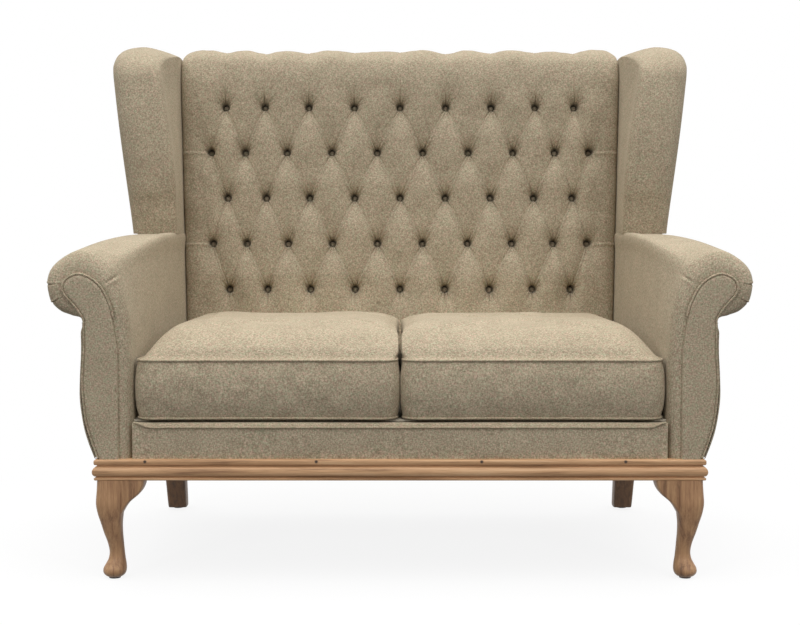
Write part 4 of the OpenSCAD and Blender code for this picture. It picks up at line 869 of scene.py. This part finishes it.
def pad_drop(c, v, x, s):
    """How far the pad's surface lies behind its fullest plane."""
    cu, cv = np.clip(c, -U_LAST, U_LAST), np.clip(v, 0, TOP_V)
    a, b = (cu + cv) / 2, (cu - cv) / 2
    part_a, part_b = a - np.floor(a), b - np.floor(b)
    outside = np.maximum(v - TOP_V, 0) + np.maximum(-v, 0)
    plain = smooth(outside / 0.5)
    sharp = mix(0.75, 0.62, plain)
    leaning = lean(part_a) ** sharp * lean(1 - part_b) ** sharp
    level = (np.sin(math.pi * part_a) * np.sin(math.pi * part_b)) ** sharp
    puff = mix(leaning, level, plain)
    beyond = unit(np.abs(c) - U_LAST)
    depth = PLEAT_DEPTH * mix(1, 0.6, plain) * mix(1, 0.3, smooth(beyond * 1.5))
    drop = depth * (1 - puff) + mix(0, 3, plain) * (1 - beyond)
    # The pleats themselves: a narrow fold whose lower lip stands proud
    for part, way in ((part_a, 1), (part_b, -1)):
        far = (part - np.round(part)) * way / MM_SHARE
        fold = 1.5 * np.exp(-(far / 1.4) ** 2) - 3.0 * np.exp(-((far + 2.5) / 1.7) ** 2)
        drop = drop + fold * mix(1, 0.1, plain) * mix(1, 0.25, smooth(beyond * 4))
    for u, row in BUTTONS:
        at_s = LOW_ROW_S + row * ROW_PITCH
        dx, ds = x - lattice_x(u, at_s), s - at_s
        near = (np.abs(dx) < PIT_REACH) & (np.abs(ds) < PIT_REACH)
        r = np.hypot(dx, ds)[near]
        angle = np.degrees(np.arctan2(ds[near], dx[near]))
        # Short and steep above the button, a longer slope that faces up below it
        wide = np.hypot(1.35 * dx[near], ds[near] * np.where(ds[near] < 0, 0.74, 1.15))
        full = SET_DEPTH - PLEAT_DEPTH + BELOW_BUTTON
        pit = full * (NARROW_SHARE * np.exp(-(r / NARROW_R) ** 4.2)
                      + (1 - NARROW_SHARE) * np.exp(-(wide / WIDE_R) ** 1.5))
        folds = 0
        for way, fold_depth, width, length in FOLDS:
            turn = (angle - way - noise.normal(0, 2) + 180) % 360 - 180
            run = length * noise.uniform(0.85, 1.15)
            along = np.exp(-(np.maximum(r - 9, 0) / run) ** 1.3)
            folds = folds + fold_depth * noise.uniform(0.8, 1.2) * along * np.exp(-(turn / width) ** 2)
        rim = unit((r - 5) / 5)
        drop[near] += pit + 4.6 * rim * folds - 0.8 * rim * np.exp(-((r - 16) / 12) ** 2)
    # Rounded off at its sides, more widely over the crest
    from_side = back_half(s) - np.abs(x)
    over = smooth((s - BACK_LEN + 60) / 90)
    inward = unit(1 - from_side / mix(36, 56, over))
    drop = drop + mix(19, 22, over) * (1 - np.sqrt(1 - inward ** 2))
    return drop - pad_swell(x, s) - pad_ripple(x, s)


def lean_back(s):
    """The top of the pad leans back on its way to the crest."""
    return LEAN_N * unit((s - BACK_LEN + LEAN_RUN) / LEAN_RUN) ** 2


def pad_rows():
    """The whole pad from its foot up its front, over the crest and down its rear."""
    # Columns crowd together beside the buttons too
    part = np.linspace(-0.5, 0.5, 37)[:-1]
    part = part * (0.75 + part ** 2)
    inner = np.concatenate([u + part for u in range(-U_LAST, U_LAST + 1)])
    inner = np.concatenate([[-U_LAST], inner[np.abs(inner) < U_LAST - 0.004], [U_LAST]])
    outer = np.linspace(0, 1, 21)[1:] + U_LAST
    cols = np.concatenate([-outer[::-1], inner, outer])
    foot_v = (s_at(BACK_FULL_T - PLEAT_DEPTH, FOOT_Z) - LOW_ROW_S) / ROW_PITCH
    # Rows 1.5 mm apart beside the buttons, and wider apart between them
    vs = [np.linspace(foot_v, -0.25, 34)[:-1]]
    for row in range(TOP_V + 1):
        vs.append(np.linspace(row - 0.25, row + 0.25, 39)[:-1])
        end = row + 0.75 if row < TOP_V else CREST_V
        vs.append(np.linspace(row + 0.25, end, 16 if row < TOP_V else 22)[:-1])
    vs = np.concatenate(vs + [[CREST_V]])
    grid_c, grid_v = np.meshgrid(cols, vs)
    s = LOW_ROW_S + grid_v * ROW_PITCH
    x = pad_x(grid_c, s)
    n = BACK_FULL_T - pad_drop(grid_c, grid_v, x, s) - lean_back(s)
    s[0] = s_at(n[0], FOOT_Z)
    sheet = [on_slope(x, n, s)]
    # Over the crest the pleats run up and fade towards the back
    angles = np.radians(np.linspace(0, 180, 54)[1:])
    grid_c, a = np.meshgrid(cols, angles)
    flat_s = BACK_LEN + FIT + CREST_H * np.sin(a)
    run_s = BACK_LEN + CREST_H * a
    x = pad_x(grid_c, flat_s)
    drop = pad_drop(grid_c, (run_s - LOW_ROW_S) / ROW_PITCH, x, run_s)
    drop = drop * (1 + 0.55 * np.sin(np.clip(a, 0, math.pi / 2)))
    drop = drop * smooth((np.radians(172) - a) / np.radians(80))
    leaning = (LEAN_N + 2 * LEAN_N * CREST_H / LEAN_RUN * np.sin(a)) * (1 + np.cos(a)) / 2
    n = CREST_N + (CREST_N - drop) * np.cos(a) - leaning
    s = BACK_LEN + FIT + (CREST_H + CREST_FILL - drop) * np.sin(a)
    sheet.append(on_slope(x, n, s))
    ends = (BACK_LEN + FIT, s_at(PAD_BACK_N, FOOT_Z))
    sheet.append(np.array([on_slope(pad_x(cols, end), PAD_BACK_N, end) for end in ends]))
    sheet.append(sheet[0][:1])
    return np.concatenate(sheet)


def paint_shade_by_depth(piece, share):
    """Paints shade into the cloth's colour: how deep each point is drawn in."""
    layer = piece.data.attributes.new("painted_shade_depth", "FLOAT", "POINT")
    layer.data.foreach_set("value", share.astype(np.float32))


rows = pad_rows()
pad = dress("tufted_back", "back_pad", [rows.transpose(1, 0, 2)], tweed, sharp=75,
            faces=[rows[:-1, 0], rows[:-1, -1][::-1]])
spots = np.empty(len(pad.data.vertices) * 3)
pad.data.vertices.foreach_get("co", spots)
spots = spots.reshape(-1, 3) * 1000 - [0, BACK_Y, PLINTH_TOP]
spot_s = spots[:, 1] * SIN + spots[:, 2] * COS
sunk = BACK_FULL_T + spots[:, 1] * COS - spots[:, 2] * SIN
# Painted shade: the pad darkens with depth into its pits and pleats, and not over the crest
paint_shade_by_depth(pad, smooth((sunk - 13) / (SET_DEPTH - 8)) * smooth((BACK_LEN - 5 - spot_s) / 40))


def button_sheets():
    """Covered buttons: low domes with a rolled edge, drawn into the padding."""
    profile = through([(0.55, -1.7), (0.85, -0.8), (1.0, -0.3), (1.03, 0.05), (0.95, 0.32),
                       (0.76, 0.52), (0.45, 0.66), (0, 0.72)], 3)
    a = np.linspace(0, 2 * math.pi, 29)
    sheets = []
    for u, row in BUTTONS:
        s0 = LOW_ROW_S + row * ROW_PITCH
        x0 = lattice_x(u, s0)
        tilt = noise.normal(0, 0.06, 2)
        grid = []
        for out, up in profile:
            x = x0 + BUTTON_R * out * np.cos(a)
            s = s0 - 1.5 + BUTTON_R * out * np.sin(a)
            n = (BACK_FULL_T - SET_DEPTH - 1 + BUTTON_R * up
                 + tilt[0] * (x - x0) + tilt[1] * (s - s0))
            grid.append(on_slope(x, n, s))
        sheets.append(np.array(grid))
    return sheets


buttons = dress("covered_buttons", "back_buttons", button_sheets(), tweed_welt, faces=())
# Painted shade: the buttons a little darker, as they sit deep in their pits
paint_shade_by_depth(buttons, np.full(len(buttons.data.vertices), 0.1))

# Front border below the cushions, and the cord along its top edge
BORDER_FACE_Y = FRONT_Y + FACING_T
BORDER_EDGE_R = 9
EDGE_TOP = BORDER_TOP - 4  # the cover's rolled edge, with the cushions' shadow above it
POST_FRONT_Y = BORDER_FACE_Y + BORDER_T
border_half = float(inside_x(POST_FRONT_Y, PLINTH_TOP)) - FIT
border_swell = swells(0.5, 120)


def border_rows():
    """The border's section at steps from left to right, with its slow unevenness."""
    section = [(POST_FRONT_Y - FIT, PLINTH_TOP), (BORDER_FACE_Y, PLINTH_TOP)]
    section += [(BORDER_FACE_Y, z) for z in np.linspace(PLINTH_TOP, EDGE_TOP - BORDER_EDGE_R, 15)[1:]]
    section += [(BORDER_FACE_Y + BORDER_EDGE_R * (1 - math.cos(a)),
                 EDGE_TOP - BORDER_EDGE_R * (1 - math.sin(a))) for a in QUARTER]
    # Behind its rolled edge the cover dips to its tacks
    section += [(BORDER_FACE_Y + 12, EDGE_TOP - 2), (BORDER_FACE_Y + 13, EDGE_TOP - 9),
                (BORDER_FACE_Y + 17, EDGE_TOP - 9), (BORDER_FACE_Y + 19, EDGE_TOP - 1),
                (POST_FRONT_Y - FIT, EDGE_TOP - 1)]
    section = np.array(section + section[:1])
    rows = []
    for x in np.linspace(-border_half, border_half, 181):
        row = np.column_stack([np.full(len(section), x), section])
        face = (section[:, 0] < BORDER_FACE_Y + 0.01) & (section[:, 1] > PLINTH_TOP + 1)
        up = unit((section[:, 1] - PLINTH_TOP) / (BORDER_H - BORDER_EDGE_R))
        fill = 1.8 * np.sin(math.pi * up) ** 0.6 + border_swell(x, section[:, 1])
        fill *= unit((border_half - abs(x)) / 18) ** 0.5
        row[:, 1] -= np.where(face, np.clip(fill, -0.5, 2.6) - 0.4, 0) * (up < 1)
        rows.append(row)
    return np.array(rows)


dress("front_border_cover", "front_border", [border_rows()], tweed)

LIP_RISE, LIP_RUN = 10, 34  # the cord turns up at its two ends, into the seams of the arms
lip_half = SEAT_W / 2 - FIT - 2 * PIPING_R
xs = np.linspace(-lip_half, lip_half, 221)
lip = LIP_RISE * (1 - smooth((lip_half - np.abs(xs)) / LIP_RUN))
line = np.column_stack([xs, EDGE_TOP - BORDER_EDGE_R + lip])
path = at_depth(line, BORDER_FACE_Y - 0.5 * PIPING_R)
dress("border_welt", "border_piping", [tube(path, WELT_R)], tweed_welt)

# Loose seat cushions: boxed, crowned, piped round both seams
LOW_SEAM_Z = BORDER_TOP + FIT + UNDERSIDE_H
TOP_SEAM_Z = LOW_SEAM_Z + BOXING_H
SEAM_SET = 2 * PIPING_R + FIT
CUSHION_IN = CUSHION_GAP / 2 + SEAM_SET
CUSHION_FRONT_Y = BORDER_FACE_Y + SEAM_SET
CUSHION_REAR_Y = PAD_FRONT_Y - SEAT_CLEAR - SEAM_SET
SEAM_DRAW, BOXING_BULGE, FRONT_BULGE = 5, 6.4, 2
CROWN_FILL = 0.93
# How far in from each of its sides the crown reaches its full height
RISE_FRONT, RISE_REAR, RISE_INNER, RISE_OUTER = 210, 110, 66, 84
PRESS_IN, PRESS_RUN = 16, 46  # the crowns spread this far towards each other, over this width
ARC_STEPS, RUN_STEPS = 10, 44  # points of the cushion's plan in each corner and along each side


def cushion_out(y):
    """Where the cushion's outer seam lies at a depth."""
    return float(inside_x(y, FOOT_Z)) - SEAT_CLEAR - SEAM_SET


CORE_HALF = min(CUSHION_REAR_Y - CUSHION_FRONT_Y, cushion_out(CUSHION_REAR_Y) - CUSHION_IN) / 2 - 10


def plan(inset):
    """The cushion seen from above, inset, anticlockwise from its front inner corner."""
    y0, y1 = CUSHION_FRONT_Y + inset, CUSHION_REAR_Y - inset
    spare = (min(cushion_out(y1) - CUSHION_IN, y1 - y0 + 2 * inset) / 2 - inset) * 0.9
    r = min(CORNER_R + abs(inset) / 2, spare)
    draw = SEAM_DRAW * unit(1 - abs(inset) / CORNER_R / 2)
    corners = np.array([[CUSHION_IN + inset, y0], [cushion_out(y0 + CORNER_R) - inset, y0],
                        [cushion_out(y1) - inset, y1], [CUSHION_IN + inset, y1]])
    into = np.array([[1, 1], [-1, 1], [-1, -1], [1, -1]])
    across = np.array([[0, 1], [-1, 0], [0, -1], [1, 0]])
    points = []
    for k in range(4):
        centre = corners[k] + r * into[k]
        after = corners[(k + 1) % 4] + r * into[(k + 1) % 4]
        for i in range(ARC_STEPS):
            a = math.radians(180 + 90 * k + 90 * i / ARC_STEPS)
            points.append(centre + r * np.array([math.cos(a), math.sin(a)]))
        for t in np.arange(RUN_STEPS) / RUN_STEPS:
            bow = draw * math.sin(math.pi * t) * across[k]
            points.append(mix(centre, after, t) - r * across[k] + bow)
    return np.array(points + points[:1])


def rise(far, over, power):
    """From 0 at an edge up to 1 at a distance from it, steep first."""
    return 1 - (1 - unit(far / over)) ** power


def cushion_rows(skin):
    """Rings up the cushion, over its underside, boxing and crown, inside its cover by the skin."""
    rings = []
    for t in np.linspace(0.9, 0, 34):
        up = UNDERSIDE_H * (1 - max(0, 1 - t * 2.8) ** 2)
        rings.append(at_height(plan(t * CORE_HALF + skin), LOW_SEAM_Z - up + skin))
    for share in np.linspace(0, 1, 21)[1:-1]:
        bulge = math.sin(math.pi * share) ** 0.7
        loop = plan(skin - BOXING_BULGE * bulge)
        # The front, with nothing against it, fills out further
        loop[:, 1] -= FRONT_BULGE * bulge * unit((CUSHION_FRONT_Y + 30 - loop[:, 1]) / 30)
        rings.append(at_height(loop, LOW_SEAM_Z + share * BOXING_H))
    for t in np.linspace(0, 0.93, 56) ** 1.35:
        inset = t * CORE_HALF
        loop = plan(inset + skin)
        x, y = loop[:, 0], loop[:, 1]
        out = np.array([cushion_out(v) for v in y]) - x
        inner = unit(1 - (x - CUSHION_IN - inset) / 24)
        up = rise(inset, mix(22, 8, inner), 1.7) * rise(y - CUSHION_FRONT_Y, RISE_FRONT, 3.6)
        up = up * rise(CUSHION_REAR_Y - y, RISE_REAR, 2.6)
        up = up * (0.7 + 0.3 * rise(x - CUSHION_IN, RISE_INNER, 2)) * rise(out, RISE_OUTER, 2.4)
        # The two cushions press against each other above the seam
        press = PRESS_IN * unit(1 - (x - CUSHION_IN) / PRESS_RUN)
        press = press * unit(up / 0.2) * min(1, inset / 5)
        loop[:, 0] = np.maximum(x - press, 2)
        rings.append(at_height(loop, TOP_SEAM_Z + CROWN_FILL * CROWN_H * up - skin))
    return np.array(rings)


def lay_cloth(piece):
    """The weave runs straight over each side: its map comes from the way each face looks."""
    layer = piece.data.uv_layers["cloth"].data
    for face in piece.data.polygons:
        facing = [abs(c) for c in face.normal]
        facing[2] *= 1.25
        u, v = ((1, 2), (0, 2), (0, 1))[facing.index(max(facing))]
        for corner in face.loop_indices:
            place = piece.data.vertices[piece.data.loops[corner].vertex_index].co
            layer[corner].uv = (place[u], place[v])


def fill_out(piece, held, reach):
    """The cover swells over its foam: Cloth under pressure, held along its seams, and no point
    further out than its reach in millimetres."""
    mesh, stage_set = piece.data, bpy.context.scene
    start = np.array([v.co[:] for v in mesh.vertices])
    seam = piece.vertex_groups.new(name="seams")
    seam.add([i for i, place in enumerate(start) if held(place * 1000)], 1, "REPLACE")
    cloth = piece.modifiers.new("cover", "CLOTH")
    cloth.settings.use_pressure, cloth.settings.uniform_pressure_force = True, 4
    cloth.settings.vertex_group_mass = "seams"
    cloth.settings.effector_weights.gravity = 0
    cloth.settings.quality, cloth.settings.shrink_min = 5, -0.012
    for step in range(1, 21):
        stage_set.frame_set(step)
    shaped = piece.evaluated_get(bpy.context.evaluated_depsgraph_get()).to_mesh()
    shift = (np.array([v.co[:] for v in shaped.vertices]) - start) * 1000
    piece.modifiers.remove(cloth)
    piece.vertex_groups.remove(seam)
    stage_set.frame_set(1)
    low, high = (np.array(r, float) for r in reach)
    shift = np.where(shift > 0, high * np.tanh(shift / high), low * np.tanh(shift / low))
    mesh.vertices.foreach_set("co", (start + shift / 1000).ravel())
    mesh.update()


cover = cushion_rows(0)
core = cushion_rows(3.3)[::3, ::3]
seams = [at_height(plan(-0.5 * PIPING_R)[:-1], z) for z in (LOW_SEAM_Z, TOP_SEAM_Z)]


def at_seam(place):
    return min(abs(place[2] - LOW_SEAM_Z), abs(place[2] - TOP_SEAM_Z)) < 0.8 or place[2] < LOW_SEAM_Z


for side, flip in SIDES:
    body = "cushion_" + side
    rows = flip([cover])[0]
    piece = make_piece("seat_cushion_" + side, [rows], tweed, body=body, faces=capped(rows))
    fill_out(piece, at_seam, [(1.2, 4, 1), (1.2, 1.2, 5)])
    lay_cloth(piece)
    stand_in(piece, "cushion_cover_" + side)
    dress("foam_core_" + side, "cushion_core_" + side, flip([core]), foam, body)
    cords = flip([tube(even(seam, 6, closed=True), WELT_R, closed=True) for seam in seams])
    dress("seam_welts_" + side, "cushion_piping_" + side, cords, tweed_welt, body=body, faces=())

ZIP_H, ZIP_T = 12, 1.2
rear_from = 2 * (ARC_STEPS + RUN_STEPS) + ARC_STEPS
rear = plan(-BOXING_BULGE)[rear_from:rear_from + RUN_STEPS + 1]
zip_z = LOW_SEAM_Z + (BOXING_H - ZIP_H) / 2
lines = [beside(rear, FIT + depth) for depth in (0, ZIP_T)]
# Across the zip: a tape's edge, the teeth standing proud in the middle, the other tape's edge
section = [(0, 0), (1, 0.1), (1, 0.4), (0.8, 0.44), (1.25, 0.47), (1.25, 0.53), (0.8, 0.56), (1, 0.6),
           (1, 0.9), (0, 1), (0, 0)]
zip_rows = np.array([[[*mix(near, far, depth), zip_z + up * ZIP_H] for depth, up in section]
                     for near, far in zip(*lines)])
for side, flip in SIDES:
    dress("zip_fastener_" + side, "cushion_zip_" + side, flip([zip_rows]), zip_cloth,
          body="cushion_" + side)


# Under the seat: the felt platform on the springs, and the black cloth below them
def slab(node, thick, sag, taper=False):
    """A sheet in the place of a flat node, its middle lower or higher by the sag."""
    low, high = (np.array(corner) * 1000 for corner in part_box(node))
    xs = np.linspace(-1, 1, 61)
    rows = []
    for y in np.linspace(low[1], high[1], 41):
        half = float(inside_x(y, BORDER_TOP)) - FIT if taper else high[0]
        depth = math.sin(math.pi * (y - low[1]) / (high[1] - low[1])) ** 0.7
        z = high[2] + sag * depth * (1 - xs ** 2)
        top = np.stack([xs * half, np.full_like(xs, y), z], 1)
        under = (top - [0, 0, thick])[::-1]
        rows.append(np.concatenate([top, under, top[:1]]))
    return np.array(rows)


FELT_T, BASE_T, BASE_SAG = 4, 0.8, -5
dress("platform_felt", "seat_platform", [slab("seat_platform", FELT_T, 0, taper=True)], felt)
base = dress("base_cloth", "dust_cover", [slab("dust_cover", BASE_T, BASE_SAG)], dust_cloth)

# Jute webbing under the back's padding: uprights, with the cross straps before them
WEB_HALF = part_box("back_webbing")[1][0] * 1000
STRAP_W, STRAP_T, STRAP_MARGIN, UPRIGHTS, CROSSES = 50, 0.7, 70, 7, 5
LOWER_N, UPPER_N = BACK_T + 0.45, BACK_T + 1.45
rail_s = s_at(BACK_FULL_T, FOOT_Z)
reach = back_half(rail_s) - STRAP_W


def strap(start, end, side, n):
    """A strap from start to end, both (x, s), at its depth in the back."""
    start, end, side = (np.array(v, float) for v in (start, end, side))
    out, up = np.array([(-1, -1), (1, -1), (1, 1), (-1, 1), (-1, -1)]).T
    rows = []
    for t in np.linspace(0, 1, 121):
        at = mix(start, end, t)
        rows.append(on_slope(at[0] + out * side[0], n + up * STRAP_T / 2, at[1] + out * side[1]))
    return np.array(rows)


straps = [strap((x, rail_s), (x, BACK_LEN), (STRAP_W / 2, 0), LOWER_N)
          for x in np.linspace(-reach, reach, UPRIGHTS)]
straps += [strap((-WEB_HALF, s), (WEB_HALF, s), (0, STRAP_W / 2), UPPER_N)
           for s in STRAP_W / 2 + np.linspace(rail_s + STRAP_MARGIN, BACK_LEN - STRAP_MARGIN - STRAP_W,
                                              CROSSES)]
web = dress("jute_straps", "back_webbing", straps, jute)

# The frame inside keeps its shapes and takes its own finishes
# Which way the grain runs: across, from front to rear, or else upright
ACROSS = ("seat_rail_front", "seat_rail_back", "crest_rail", "back_rail_lower", "corner_blocks")
BACKWARDS = ("seat_rail_", "arm_rail_", "tacking_rail_")
FITTINGS = {"seat_springs": spring_steel, "spring_clips": zinc, "leg_bolts": zinc, "glides": nylon}
for name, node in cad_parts.items():
    grain = 0 if name in ACROSS else 1 if name.startswith(BACKWARDS) else 2
    finish = FITTINGS.get(name, beech[grain])
    node.data.materials.clear()
    node.data.materials.append(finish)

# Camera: square on, a little above the seat, looking slightly down
lens = bpy.data.cameras.new("camera")
lens.lens, lens.sensor_width, lens.sensor_fit = 67.8, 36, "HORIZONTAL"
camera = in_scene("camera", lens)
camera.location = (0, -3.468, 0.770)
camera.rotation_euler = (math.radians(90 - 4.083), 0, 0)
bpy.context.scene.camera = camera

# Two soft lights, one on each side of the camera, turned to the middle of the settee
for side, x in (("left", -2.25), ("right", 2.25)):
    lamp = bpy.data.lights.new(side + "_soft_box", "AREA")
    lamp.shape, lamp.size, lamp.size_y, lamp.energy = "RECTANGLE", 0.45, 0.45, 19
    light = in_scene(side + "_soft_box", lamp)
    light.location = (x, -3.3, 1.58)
    aim = Vector((0, 0, 0.5)) - light.location
    light.rotation_euler = aim.to_track_quat("-Z", "Y").to_euler()


def looked_at(tree):
    """1 for the rays that show a thing, straight or mirrored or through glass, and 0 for its light."""
    rays = add(tree, "LightPath").outputs
    seen = rays["Is Camera Ray"]
    for kind in ("Is Glossy Ray", "Is Transmission Ray"):
        seen = reckon(tree, "MAXIMUM", seen, rays[kind])
    return seen


world = bpy.data.worlds.new("studio")
bpy.context.scene.world = world
world.use_nodes = True
tree = world.node_tree
tree.nodes.clear()
seen = looked_at(tree)
# A sky of soft light: brightest overhead, none from below
SKY_FALL, SKY_LEVEL = 2.6, 3.4
place = add(tree, "TexCoord").outputs["Generated"]
way = add(tree, "SeparateXYZ", inputs={"Vector": place}).outputs["Z"]
glow = reckon(tree, "MAXIMUM", way, 0.0)
glow = reckon(tree, "MULTIPLY", reckon(tree, "POWER", glow, SKY_FALL), SKY_LEVEL)
level = add(tree, "Mix", {"data_type": "FLOAT"}, {0: seen, 2: glow, 3: 1.0}).outputs[0]
sky = add(tree, "Background", inputs={"Color": (1, 1, 1, 1), "Strength": level}).outputs[0]
add(tree, "OutputWorld", inputs={"Surface": sky})

# Floor: white, and as bright as the background away from the settee
ground = bpy.data.meshes.new("floor")
ground.from_pydata([(-9, -9, 0), (9, -9, 0), (9, 9, 0), (-9, 9, 0)], [], [(0, 1, 2, 3)])
floor = in_scene("floor", ground)
paper = bpy.data.materials.new("white_paper_roll")
paper.use_nodes = True
tree = paper.node_tree
tree.nodes.clear()
seen = looked_at(tree)
place = add(tree, "TexCoord").outputs["Object"]
far = add(tree, "VectorMath", {"operation": "LENGTH"}, {0: place}).outputs["Value"]
open_floor = add(tree, "MapRange", {"interpolation_type": "SMOOTHSTEP"},
                 {"Value": far, "From Min": 0.75, "From Max": 1.3,
                  "To Min": 0.88, "To Max": 1}).outputs[0]
share = reckon(tree, "MULTIPLY", seen, open_floor)
# White to look at, yet it throws little light back up
tint = add(tree, "Mix", {"data_type": "RGBA"},
           {0: seen, 6: (0.14, 0.14, 0.14, 1), 7: (0.8, 0.8, 0.8, 1)}).outputs[2]
lit = add(tree, "BsdfDiffuse", inputs={"Color": tint}).outputs[0]
plain = add(tree, "Emission", inputs={"Color": (1, 1, 1, 1), "Strength": 1.0}).outputs[0]
both = add(tree, "MixShader", inputs={0: share, 1: lit, 2: plain}).outputs[0]
add(tree, "OutputMaterial", inputs={"Surface": both})
ground.materials.append(paper)

bpy.context.scene.view_settings.view_transform = "Standard"
